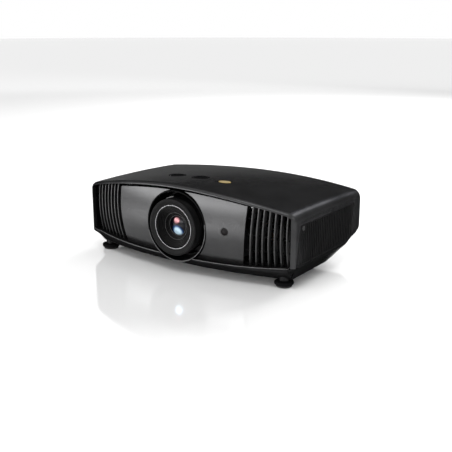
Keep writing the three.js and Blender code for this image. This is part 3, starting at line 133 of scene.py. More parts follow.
def arc(centre: Pair, radius: float, start: float, end: float, steps: int) -> list[Pair]:
    """Points of an arc.

    Args:
        centre: its middle.
        radius: its radius.
        start: angle of the first point, in radians.
        end: angle of the last point.
        steps: count of the points.

    Returns:
        The points, in order.
    """
    return [(centre[0] + radius * math.cos(a), centre[1] + radius * math.sin(a)) for a in spread(start, end, steps)]


def circle(centre: Pair, radius: float) -> list[Pair]:
    """Points of the section of a fine wire."""
    return arc(centre, radius, 0.0, 2 * HALF_TURN, 9)[:-1]


def lay(axis: Axis, u: float, v: float, along: float) -> Point:
    """Point from two places across an axis and one along it.

    Args:
        axis: the axis.
        u: first place across it.
        v: second place across it.
        along: place along it.

    Returns:
        The point in the frame.
    """
    if axis is Axis.X:
        return along, u, v
    return (u, along, v) if axis is Axis.Y else (u, v, along)


def put(name: str, data: bpy.types.ID) -> Piece:
    """Puts a new object in the scene.

    Args:
        name: its name.
        data: its mesh, light or camera.

    Returns:
        The object.
    """
    made = bpy.data.objects.new(name, data)
    bpy.context.scene.collection.objects.link(made)
    return made


class MeshKit:
    """Makes and combines the meshes of the pieces."""

    @staticmethod
    def piece(name: str, points: Sequence[Point], faces: Sequence[Sequence[int]]) -> Piece:
        """Makes an object from points and faces, with its faces pointing out.

        Args:
            name: name of the piece.
            points: corners, in metres.
            faces: corner numbers of each face.

        Returns:
            The new object, in the scene.
        """
        mesh = bpy.data.meshes.new(name)
        mesh.from_pydata([tuple(p) for p in points], [], [tuple(f) for f in faces])
        work = bmesh.new()
        work.from_mesh(mesh)
        bmesh.ops.remove_doubles(work, verts=work.verts, dist=WELD)
        bmesh.ops.recalc_face_normals(work, faces=work.faces)
        work.to_mesh(mesh)
        work.free()
        return put(name, mesh)

    @staticmethod
    def loft(name: str, loops: Sequence[Sequence[Point]]) -> Piece:
        """Makes a closed body through loops of equal length.

        Args:
            name: name of the piece.
            loops: loops of points, from one end to the other.

        Returns:
            The new object.
        """
        size = len(loops[0])
        points = [p for loop in loops for p in loop]
        faces: list[list[int]] = []
        for i in range(len(loops) - 1):
            for j in range(size):
                a, b = i * size + j, i * size + (j + 1) % size
                faces.append([a, b, b + size, a + size])
        faces.append(list(range(size))[::-1])
        faces.append([(len(loops) - 1) * size + j for j in range(size)])
        return MeshKit.piece(name, points, faces)

    @staticmethod
    def turned(name: str, axis: Axis, profile: Sequence[Pair], centre: Pair, segments: int = 96) -> Piece:
        """Makes a closed body of revolution.

        Args:
            name: name of the piece.
            axis: axis that it is turned about.
            profile: closed outline of (radius, distance along the axis).
            centre: place of the axis in the two other directions.
            segments: steps round the axis.

        Returns:
            The new object.
        """
        points: list[Point] = []
        rows: list[list[int]] = []
        for radius, along in profile:
            if radius < 1e-7:
                rows.append([len(points)] * segments)
                points.append(lay(axis, *centre, along))
                continue
            rows.append([len(points) + j for j in range(segments)])
            for turn in (2 * HALF_TURN * j / segments for j in range(segments)):
                u, v = centre[0] + radius * math.cos(turn), centre[1] + radius * math.sin(turn)
                points.append(lay(axis, u, v, along))
        faces: list[list[int]] = []
        for near, far in zip(rows, rows[1:] + rows[:1]):
            for j in range(segments):
                ring = [near[j], near[(j + 1) % segments], far[(j + 1) % segments], far[j]]
                face = [corner for i, corner in enumerate(ring) if corner != ring[i - 1]]
                if len(set(face)) > 2:
                    faces.append(face)
        return MeshKit.piece(name, points, faces)

    @staticmethod
    def rod(name: str, axis: Axis, radius: float, span: Pair, centre: Pair, segments: int) -> Piece:
        """Makes a plain round bar.

        Args:
            name: name of the piece.
            axis: axis of the bar.
            radius: its radius.
            span: where it starts and ends along the axis.
            centre: place of the axis in the two other directions.
            segments: steps round the axis.

        Returns:
            The new object.
        """
        low, high = span
        return MeshKit.turned(name, axis, [(0.0, low), (radius, low), (radius, high), (0.0, high)], centre, segments)

    @staticmethod
    def flute(piece: Piece, centre: Pair, radius: float, count: int, depth: float, power: int = 1) -> None:
        """Draws the edge of an upright wheel in between the crests of its flutes.

        Args:
            piece: the wheel.
            centre: place of its axis.
            radius: its radius.
            count: count of the flutes.
            depth: depth of a flute, as a share of the radius.
            power: how narrow the flutes are.
        """
        for corner in piece.data.vertices:
            away = Vector((corner.co.x - centre[0], corner.co.y - centre[1]))
            if away.length > radius * 0.9:
                crest = 0.5 + 0.5 * math.cos(math.atan2(away.y, away.x) * count)
                shrink = 1 - depth * crest**power
                corner.co.x, corner.co.y = centre[0] + away.x * shrink, centre[1] + away.y * shrink

    @staticmethod
    def box(name: str, low: Point, high: Point) -> Piece:
        """Makes a box between two corners.

        Args:
            name: name of the piece.
            low: its lowest corner.
            high: its highest corner.

        Returns:
            The new object.
        """
        corners = [(x, y, z) for x in (low[0], high[0]) for y in (low[1], high[1]) for z in (low[2], high[2])]
        faces = [(0, 1, 3, 2), (4, 6, 7, 5), (0, 4, 5, 1), (2, 3, 7, 6), (0, 2, 6, 4), (1, 5, 7, 3)]
        return MeshKit.piece(name, corners, faces)

    @staticmethod
    def prism(name: str, axis: Axis, shape: Sequence[Pair], low: float, high: float) -> Piece:
        """Pushes a flat outline along an axis.

        Args:
            name: name of the piece.
            axis: axis that the outline is pushed along.
            shape: points of the outline across the axis.
            low: where the body starts along the axis.
            high: where it ends.

        Returns:
            The new object.
        """
        return MeshKit.loft(name, [[lay(axis, u, v, along) for u, v in shape] for along in (low, high)])

    @staticmethod
    def carve(body: Piece, way: Carve, tools: Sequence[Piece]) -> Piece:
        """Cuts tools from a body, or joins them to it, and deletes the tools.

        Args:
            body: closed body that stays.
            way: whether to cut or to join.
            tools: closed bodies that are used up.

        Returns:
            The body, with its new mesh.
        """
        for tool in tools:
            step = body.modifiers.new(tool.name, "BOOLEAN")
            step.object, step.operation, step.solver = tool, way.value, "MANIFOLD"
        graph = bpy.context.evaluated_depsgraph_get()
        finished = bpy.data.meshes.new_from_object(body.evaluated_get(graph))
        body.modifiers.clear()
        old, body.data = body.data, finished
        bpy.data.meshes.remove(old)
        for tool in tools:
            bpy.data.objects.remove(tool)
        return body

    @staticmethod
    def soften(body: Piece, degrees: float = 30.0, round_off: float = 0.0) -> Piece:
        """Shades a piece smooth, apart from its sharp edges, and rounds those off if asked.

        Args:
            body: the piece.
            degrees: angle from which an edge counts as sharp.
            round_off: width of the rounding, in metres.

        Returns:
            The same piece.
        """
        work = bmesh.new()
        work.from_mesh(body.data)
        bmesh.ops.remove_doubles(work, verts=work.verts, dist=WELD)
        bmesh.ops.dissolve_degenerate(work, edges=work.edges, dist=1e-7)
        if round_off:
            sharp = [e for e in work.edges if e.is_manifold and e.calc_face_angle(0.0) > math.radians(degrees)]
            bmesh.ops.bevel(work, geom=sharp, offset=round_off, segments=2, profile=0.5, affect="EDGES",
                            clamp_overlap=True)
        for face in work.faces:
            face.smooth = True
        for edge in work.edges:
            edge.smooth = edge.is_manifold and edge.calc_face_angle(0.0) < math.radians(degrees)
        work.to_mesh(body.data)
        work.free()
        return body

    @staticmethod
    def joined(name: str, parts: Sequence[Piece]) -> Piece:
        """Puts the meshes of several objects in one object, which keeps their separate bodies.

        Args:
            name: name of the new piece.
            parts: the objects, which are used up.

        Returns:
            The new object.
        """
        work = bmesh.new()
        for part in parts:
            work.from_mesh(part.data)
        mesh = bpy.data.meshes.new(name)
        work.to_mesh(mesh)
        work.free()
        for part in parts:
            bpy.data.objects.remove(part)
        return put(name, mesh)


@dataclass(frozen=True)
class Finish:
    """A moulded or painted finish: its colour, sheen and fine surface.

    Attributes:
        name: name of the material.
        slot: the record's material slot; not used.
        colour: base colour, linear.
        roughness: mean roughness.
        metallic: 1 for metal.
        specular: level of the plain gloss, 0.5 for common plastic.
        variation: how far the colour changes from place to place, as a share.
        grain: size of the surface's grain, in metres.
        bump: depth of the grain, in metres.
        edge: share of the gloss that is left at a glancing angle.
    """

    name: str
    slot: str
    colour: Colour
    roughness: float
    metallic: float = 0.0
    specular: float = 0.5
    variation: float = 0.12
    grain: float = 0.0006
    bump: float = 0.00004
    edge: float = 1.0

    def material(self) -> bpy.types.Material:
        """Makes the material, or takes it if it was made before.

        Returns:
            The material.
        """
        made = bpy.data.materials.get(self.name)
        if made is None:
            made = bpy.data.materials.new(self.name)
            made.use_nodes = True
            self.build(Shader(made))
        return made

    def build(self, shader: "Shader") -> None:
        """Fills the node tree.

        Args:
            shader: node tree of the new material.
        """
        shader.gloss(self)
        place = shader.place()
        clouds = shader.noise(place, 1 / (self.grain * 60), detail=3)
        grain = shader.noise(place, 1 / self.grain, detail=2)
        shader.tint(clouds, self.colour, self.variation)
        shader.rough(grain, self.roughness, self.roughness * 0.16)
        shader.relief(grain, self.bump)

    def on(self, piece: Piece) -> Piece:
        """Gives a piece this finish.

        Args:
            piece: new piece or CAD node.

        Returns:
            The same piece.
        """
        piece.data.materials.clear()
        piece.data.materials.append(self.material())
        return piece


class Shader:
    """Small kit for one material's nodes."""

    def __init__(self, material: bpy.types.Material) -> None:
        """Takes the material's node tree."""
        self.tree = material.node_tree
        self.body = self.tree.nodes["Principled BSDF"]

    def add(self, kind: str, **values: object) -> bpy.types.Node:
        """Adds a node.

        Args:
            kind: type of the node.
            **values: its settings.

        Returns:
            The new node.
        """
        node = self.tree.nodes.new(kind)
        for key, value in values.items():
            setattr(node, key, value)
        return node

    def wire(self, source: Socket, target: Socket) -> None:
        """Links two sockets."""
        self.tree.links.new(source, target)

    def gloss(self, finish: Finish) -> None:
        """Sets what is the same all over the surface.

        Args:
            finish: finish that the material is for.
        """
        sockets = self.body.inputs
        sockets["Metallic"].default_value = finish.metallic
        sockets["Specular IOR Level"].default_value = finish.specular
        sockets["Specular Tint"].default_value = (finish.edge, finish.edge, finish.edge, 1.0)

    def place(self, size: Point = (1.0, 1.0, 1.0), centre: Point = (0.0, 0.0, 0.0),
              way: Mapping = Mapping.STRETCH) -> Socket:
        """Place on the piece, for a pattern.

        Args:
            size: stretch of the pattern, or half sizes of its box, along X, Y and Z.
            centre: middle of the pattern.
            way: what the size stands for.

        Returns:
            Socket with the coordinates.
        """
        source = self.add("ShaderNodeTexCoord")
        moved = self.add("ShaderNodeMapping", vector_type=way.value)
        moved.inputs["Location"].default_value = centre
        moved.inputs["Scale"].default_value = size
        self.wire(source.outputs["Object"], moved.inputs["Vector"])
        return moved.outputs["Vector"]

    def noise(self, place: Socket, scale: float, detail: float = 2.0) -> Socket:
        """Noise between 0 and 1.

        Args:
            place: coordinates on the piece.
            scale: waves per metre.
            detail: count of finer layers.

        Returns:
            Socket with the noise.
        """
        node = self.add("ShaderNodeTexNoise")
        node.inputs["Scale"].default_value = scale
        node.inputs["Detail"].default_value = detail
        self.wire(place, node.inputs["Vector"])
        return node.outputs["Fac"]

    def ramp(self, source: Socket, stops: Sequence[tuple[float, Colour]]) -> Socket:
        """Colour ramp.

        Args:
            source: socket that picks the place on the ramp.
            stops: its stops, as (place, colour).

        Returns:
            Socket with the colour.
        """
        node = self.add("ShaderNodeValToRGB")
        elements = node.color_ramp.elements
        while len(elements) < len(stops):
            elements.new(0.5)
        for element, (position, colour) in zip(elements, stops):
            element.position, element.color = position, (*colour, 1.0)
        self.wire(source, node.inputs["Fac"])
        return node.outputs["Color"]

    def tint(self, source: Socket, colour: Colour, variation: float) -> None:
        """Varies the base colour with a pattern.

        Args:
            source: the pattern.
            colour: mean colour.
            variation: share by which it changes.
        """
        low = tuple(c * (1 - variation) for c in colour)
        high = tuple(c * (1 + variation) for c in colour)
        self.wire(self.ramp(source, [(0.3, low), (0.7, high)]), self.body.inputs["Base Color"])

    def rough(self, source: Socket, middle: float, change: float) -> None:
        """Varies the roughness with a pattern.

        Args:
            source: the pattern.
            middle: mean roughness.
            change: how far it goes from there.
        """
        node = self.add("ShaderNodeMapRange")
        node.inputs["To Min"].default_value = max(0.0, middle - change)
        node.inputs["To Max"].default_value = min(1.0, middle + change)
        self.wire(source, node.inputs["Value"])
        self.wire(node.outputs["Result"], self.body.inputs["Roughness"])

    def relief(self, source: Socket, depth: float) -> None:
        """Raises the surface with a pattern.

        Args:
            source: the pattern.
            depth: height of the relief, in metres.
        """
        node = self.add("ShaderNodeBump")
        node.inputs["Distance"].default_value = depth
        node.inputs["Strength"].default_value = 1.0
        self.wire(source, node.inputs["Height"])
        self.wire(node.outputs["Normal"], self.body.inputs["Normal"])


@dataclass(frozen=True)
class BrushedFinish(Finish):
    """Metal with fine lines that run along one axis.

    Attributes:
        along: scale of the lines' pattern along X, Y and Z.
    """

    along: Point = (1.0, 1.0, 0.02)

    def build(self, shader: Shader) -> None:
        """Fills the node tree.

        Args:
            shader: node tree of the new material.
        """
        shader.gloss(self)
        lines = shader.noise(shader.place(self.along), 1 / self.grain, detail=3)
        clouds = shader.noise(shader.place(), 1 / (self.grain * 80), detail=2)
        shader.tint(clouds, self.colour, self.variation)
        shader.rough(lines, self.roughness, self.roughness * 0.18)
        shader.relief(lines, self.bump)


@dataclass(frozen=True)
class TurnedFinish(Finish):
    """Finish with fine rings from turning, about a fore-and-aft or an upright axis.

    Attributes:
        centre: a point on the axis.
        axis: axis of the rings.
    """

    centre: Point = (0.0, 0.0, LENS_HEIGHT)
    axis: Axis = Axis.Y

    def build(self, shader: Shader) -> None:
        """Fills the node tree.

        Args:
            shader: node tree of the new material.
        """
        shader.gloss(self)
        place = shader.place(centre=self.centre, way=Mapping.BOX)
        rings = shader.add("ShaderNodeTexWave", wave_type="RINGS", rings_direction=self.axis.name)
        rings.inputs["Scale"].default_value = 0.5 / self.grain
        rings.inputs["Distortion"].default_value = 0.4
        shader.wire(place, rings.inputs["Vector"])
        clouds = shader.noise(place, 1 / (self.grain * 40), detail=2)
        shader.tint(clouds, self.colour, self.variation)
        shader.rough(rings.outputs["Fac"], self.roughness, self.roughness * 0.2)
        shader.relief(rings.outputs["Fac"], self.bump)


@dataclass(frozen=True)
class PaintedHighlight:
    """Round painted highlight on a glass: a coloured spot in its base colour and metal share that stands in for a
    lamp's reflection in the coating.

    Attributes:
        place: its middle, from the middle of the glass, across and up.
        reach: its half sizes, across and up.
        colour: its colour.
        core: colour of its middle.
    """

    place: Pair
    reach: Pair
    colour: Colour
    core: Colour


@dataclass(frozen=True)
class GlassWithPaintedHighlights(Finish):
    """Dark lens glass with painted highlights: coloured spots in its base colour and metal share that stand in for
    reflections of lamps in the coating.

    Attributes:
        mirror: how far the middle of a painted highlight is metal and not paint, from 0 to 1.
        axis: axis of the glass.
        middle: place of its middle, across the axis.
        painted_highlights: the painted highlights.
    """

    mirror: float = 0.35
    axis: Axis = Axis.Y
    middle: Pair = (0.0, LENS_HEIGHT)
    # Pink and blue painted highlights that stand in for lamp reflections in the coating.
    painted_highlights: tuple[PaintedHighlight, ...] = (
        PaintedHighlight((-0.0022, 0.0100), (0.0110, 0.0092), (0.05, 0.014, 0.02), (0.30, 0.14, 0.15)),
        PaintedHighlight((-0.0004, -0.0120), (0.0150, 0.0150), (0.008, 0.075, 0.27), (0.52, 0.70, 0.82)),
    )

    def build(self, shader: Shader) -> None:
        """Fills the node tree.

        Args:
            shader: node tree of the new material.
        """
        shader.gloss(self)
        colour = shader.ramp(shader.noise(shader.place(), 1 / self.grain), [(0.3, self.colour), (0.7, self.colour)])
        metal: Socket | None = None
        # Each painted highlight is mixed into the base colour and raises the metal share.
        for spot in self.painted_highlights:
            highlight = self.highlight_mask(shader, spot)
            tint = shader.ramp(highlight, [(0.4, spot.colour), (0.95, spot.core)])
            blend = shader.add("ShaderNodeMix", data_type="RGBA")
            shader.wire(highlight, blend.inputs["Factor"])
            shader.wire(colour, blend.inputs["A"])
            shader.wire(tint, blend.inputs["B"])
            colour = blend.outputs["Result"]
            if metal is not None:
                most = shader.add("ShaderNodeMath", operation="MAXIMUM")
                shader.wire(metal, most.inputs[0])
                shader.wire(highlight, most.inputs[1])
                highlight = most.outputs[0]
            metal = highlight
        shader.wire(colour, shader.body.inputs["Base Color"])
        share = shader.add("ShaderNodeMath", operation="MULTIPLY")
        shader.wire(metal, share.inputs[0])
        share.inputs[1].default_value = self.mirror
        shader.wire(share.outputs[0], shader.body.inputs["Metallic"])
        dust = shader.noise(shader.place(), 1 / self.grain, detail=2)
        shader.rough(dust, self.roughness, self.roughness * 0.3)

    def highlight_mask(self, shader: Shader, spot: PaintedHighlight) -> Socket:
        """Strength of a painted highlight, from 1 in its middle to 0 at its edge.

        Args:
            shader: node tree of the material.
            spot: the painted highlight.

        Returns:
            Socket with the strength.
        """
        across, up = self.middle[0] + spot.place[0], self.middle[1] + spot.place[1]
        size, centre = lay(self.axis, *spot.reach, ENDLESS), lay(self.axis, across, up, 0.0)
        fade = shader.add("ShaderNodeTexGradient", gradient_type="SPHERICAL")
        shader.wire(shader.place(size, centre, Mapping.BOX), fade.inputs["Vector"])
        level = shader.add("ShaderNodeMapRange", interpolation_type="SMOOTHSTEP")
        level.inputs["From Max"].default_value = 0.6
        shader.wire(fade.outputs["Fac"], level.inputs["Value"])
        return level.outputs["Result"]


@dataclass(frozen=True)
class FinishSet:
    """All the finishes of the projector."""

    case: Finish = Finish("case_matte_black", "matte_black", (0.046, 0.046, 0.0471), 0.32, metallic=0.82,
                          specular=0.0, edge=0.1, grain=0.0007, bump=0.00005)
    # Painted shade: a darker copy of the case finish, so that the lower case's chin and underside come out dark.
    tray: Finish = Finish("tray_black_painted_shade", "matte_black", (0.018, 0.018, 0.0185), 0.36, metallic=0.7,
                          specular=0.0, edge=0.1, grain=0.0007, bump=0.00005)
    vent: Finish = Finish("vent_matte_black", "matte_black", (0.024, 0.024, 0.0246), 0.4, metallic=0.55,
                          specular=0.0, edge=0.04, grain=0.0007)
    inner_case: Finish = Finish("grille_black", "matte_black", (0.006, 0.006, 0.0063), 0.45, metallic=0.3,
                                specular=0.0, edge=0.0, bump=0.00003)
    rib: Finish = Finish("rib_black", "matte_black", (0.012, 0.012, 0.0124), 0.32, specular=0.6, bump=0.00002)
    # Painted highlight: bright graphite for the thin wires that stand in for highlights along the ledge and the lens
    # surround's rim.
    highlight_bead: Finish = Finish("highlight_bead_graphite", "graphite", (0.13, 0.13, 0.132), 0.35, metallic=0.8, bump=0.000005)
    panel: Finish = BrushedFinish("panel_graphite", "graphite", (0.053, 0.053, 0.054), 0.29, metallic=0.85,
                                  variation=0.04, grain=0.00035, bump=0.000008, along=(1.0, 1.0, 0.03))
    gloss: Finish = Finish("surround_gloss_black", "gloss_black", (0.002, 0.002, 0.0022), 0.25, specular=0.06,
                           grain=0.002, bump=0.00001)
    cone: Finish = TurnedFinish("cone_black", "lens_black", (0.0022, 0.0022, 0.0023), 0.3, specular=0.06,
                                grain=0.0042, bump=0.0003)
    lens: Finish = TurnedFinish("lens_satin_black", "lens_black", (0.004, 0.004, 0.0042), 0.38, specular=0.07,
                                grain=0.0007, bump=0.00002)
    zoom: Finish = TurnedFinish("zoom_satin_black", "lens_black", (0.012, 0.012, 0.0124), 0.35,
                                grain=0.0007, bump=0.00002)
    silver: Finish = TurnedFinish("trim_silver", "silver_trim", (0.3, 0.3, 0.31), 0.26, metallic=1.0,
                                  variation=0.03, grain=0.0004, bump=0.000005)
    # Painted highlights: each glass carries the pink and blue coloured spots that stand in for lamp reflections.
    front_glass: Finish = GlassWithPaintedHighlights("glass_front", "lens_glass", (0.002, 0.002, 0.004), 0.2, specular=0.15,
                                      grain=0.004)
    inner_glass: Finish = GlassWithPaintedHighlights("glass_inner", "lens_glass", (0.02, 0.022, 0.035), 0.1, specular=0.6,
                                      grain=0.004)
    filter_glass: Finish = GlassWithPaintedHighlights("glass_filter", "filter_glass", (0.2, 0.1, 0.03), 0.08, specular=0.6,
                                       grain=0.003, axis=Axis.X, middle=(0.006, 0.0534))
    rubber: Finish = Finish("foot_rubber", "foot_rubber", (0.008, 0.008, 0.008), 0.85, specular=0.25,
                            grain=0.0009, bump=0.0001)
    brass: Finish = TurnedFinish("disc_brass", "brass_disc", (0.36, 0.25, 0.045), 0.34, metallic=1.0,
                                 variation=0.08, grain=0.0004, bump=0.00001, axis=Axis.Z, centre=(*DISC_PLACE, 0.0))
    steel: Finish = Finish("plated_steel", "steel", (0.4, 0.4, 0.41), 0.3, metallic=1.0, variation=0.1,
                           grain=0.0008, bump=0.00001)
    board: Finish = Finish("board_green", "circuit_board", (0.01, 0.06, 0.03), 0.4, variation=0.4,
                           grain=0.001, bump=0.00005)
    engine: Finish = Finish("engine_moulding", "engine_black", (0.03, 0.03, 0.033), 0.55, specular=0.3,
                            grain=0.0012, bump=0.0001)
    metal: Finish = BrushedFinish("inner_aluminium", "inner_metal", (0.05, 0.05, 0.052), 0.5, metallic=0.8,
                                  variation=0.08, bump=0.00002)
    screw: Finish = Finish("screw_blackened", "steel", (0.004, 0.004, 0.0042), 0.4, metallic=0.6, variation=0.1,
                           grain=0.0008, bump=0.00001)
    window: Finish = Finish("window_smoked", "smoked_window", (0.004, 0.003, 0.0034), 0.3, specular=0.1,
                            grain=0.003, bump=0.00001)


KNEE: Pair = (0.745, 0.59)
SLOPE_FOOT = 0.55
BRIM_SHARES: tuple[Pair, ...] = ((0, 0), (0.03, 0.2), (0.09, 0.4), (0.19, 0.6), (0.34, 0.78), (0.55, 0.91),
                                 (0.78, 0.98), (1, 1))
SWEEP_SHARES: tuple[Pair, ...] = ((0, 0), (0.28, 0.12), (0.7, 0.42), (0.93, 0.76), (1, 1))
SIDE_SWEEP_SHARES: tuple[Pair, ...] = ((0, 0), (0.28, 0.01), (SLOPE_FOOT, 0.07), KNEE, (1, 1))
CHIN_SHARES: tuple[Pair, ...] = ((0, 0), (0.012, 0.1), (0.03, 0.17), (0.2, 0.36), (0.45, 0.6), (0.72, 0.83))


@dataclass(frozen=True)
class CaseForm:
    """Surfaces that the case halves, the front panel and the grilles share.

    Attributes:
        half_width: middle to a side wall.
        half_depth: middle to the corners, front and back.
        front_bow: how far the front stands out in the middle.
        rear_bow: how far the back does.
        corner_brim: height of the brim's underside at the front corner.
        front_crown: rise of the brim to the middle.
        crown_power: how late the brim turns down.
        brim_height: height of the brim's bevel.
        brim_bevel: depth of that bevel.
        rear_corner: height of the top at the rear corner.
        rear_crown: rise of the rear top edge to the middle.
        top_bulge: fullness of the top.
        side_round: round between the top and a side wall.
        corner_round: upright round at the front corners.
        rear_corner_round: upright round at the rear corners.
        rear_round: round between the top and the back.
        heel_round: round at the foot of the back wall.
        heel: height of the rear overhang's underside.
        split: height where the case halves meet.
        wall: wall of both halves.
        clearance: gap between neighbouring pieces.
        post_width: width of the front corner posts.
        post_depth: depth of those posts.
        sweep_start: where the underside starts to rise.
        sweep_length: length of that rise.
    """

    half_width: float
    half_depth: float = 0.1335
    front_bow: float = 0.0375
    rear_bow: float = 0.0375
    corner_brim: float = 0.1355
    front_crown: float = 0.033
    crown_power: float = 1.81
    brim_height: float = 0.0055
    brim_bevel: float = 0.007
    rear_corner: float = 0.1384
    rear_crown: float = 0.0085
    top_bulge: float = 0.003
    side_round: float = 0.0155
    corner_round: float = 0.006
    rear_corner_round: float = 0.004
    rear_round: float = 0.008
    heel_round: float = 0.010
    heel: float = 0.0574
    split: float = 0.043
    wall: float = 0.0028
    clearance: float = 0.0003
    post_width: float = 0.007
    post_depth: float = 0.008
    sweep_start: float = 0.020
    sweep_length: float = 0.098

    def share(self, x: float) -> float:
        """Share of the way from the middle to a side wall."""
        return min(1.0, abs(x) / self.half_width)

    def drop(self, x: float, radius: float, inset: float = 0.0) -> float:
        """How far a round has come away from its corner.

        Args:
            x: place across.
            radius: radius of the round.
            inset: how far the surface is within the outer one.

        Returns:
            The distance.
        """
        into, inner = abs(x) - (self.half_width - radius), radius - inset
        return 0.0 if into <= 0 else inner - math.sqrt(max(0.0, inner**2 - into**2))

    def front(self, x: float) -> float:
        """Front edge of the case at x."""
        return -self.half_depth - self.front_bow * (1 - self.share(x) ** 2) + self.drop(x, self.corner_round)

    def rear(self, x: float) -> float:
        """Rear edge of the case at x."""
        return self.half_depth + self.rear_bow * (1 - self.share(x) ** 2) - self.drop(x, self.rear_corner_round)

    def crown(self, x: float) -> float:
        """Height of the brim's underside before the side rounds."""
        return self.corner_brim + self.front_crown * (1 - self.share(x) ** self.crown_power)

    def brim(self, x: float) -> float:
        """Height of the brim's underside at x."""
        return self.crown(x) - self.drop(x, self.side_round)

    def top(self, x: float, y: float, inset: float = 0.0) -> float:
        """Height of the top surface, or of one inset below it.

        Args:
            x: place across.
            y: place back and forth.
            inset: depth below the surface.

        Returns:
            The height.
        """
        part = clamp((y - self.front(x)) / (self.rear(x) - self.front(x)))
        rear_top = self.rear_corner + self.rear_crown * (1 - self.share(x) ** 2)
        level = mix(self.crown(x) + self.brim_height, rear_top, part)
        return level + self.top_bulge * 4 * part * (1 - part) - inset - self.drop(x, self.side_round, inset)

    def normal(self, x: float, y: float) -> Vector:
        """Direction square to the top surface.

        Args:
            x: place across.
            y: place back and forth.

        Returns:
            The direction, of length 1.
        """
        step = self.wall
        across = (self.top(x + step, y) - self.top(x - step, y)) / (2 * step)
        ahead = (self.top(x, y + step) - self.top(x, y - step)) / (2 * step)
        return Vector((-across, -ahead, 1.0)).normalized()

    def rising_split(self, gap: float = 0.0) -> list[Pair]:
        """Line where the case halves meet, from the rear overhang down to the foot of the slope.

        Args:
            gap: how far below that line the points are.

        Returns:
            Its three corners, seen from the side.
        """
        shares = ((1.0, 1.0), KNEE, (SLOPE_FOOT, 0.0))
        return [(self.sweep_start + self.sweep_length * a, mix(self.split, self.heel, b) - gap) for a, b in shares]

    def stations(self, inset: float = 0.0) -> list[float]:
        """Places across the case, closer together in the side rounds.

        Args:
            inset: how far the outer ones stay within the side walls.

        Returns:
            The places, from left to right.
        """
        flat, rounds = self.half_width - self.side_round, 12
        turn = [QUARTER * (i + 1) / rounds for i in range(rounds)]
        outer = [flat + (self.side_round - inset) * math.sin(a) for a in turn]
        return [-x for x in reversed(outer)] + spread(-flat, flat, 57) + outer


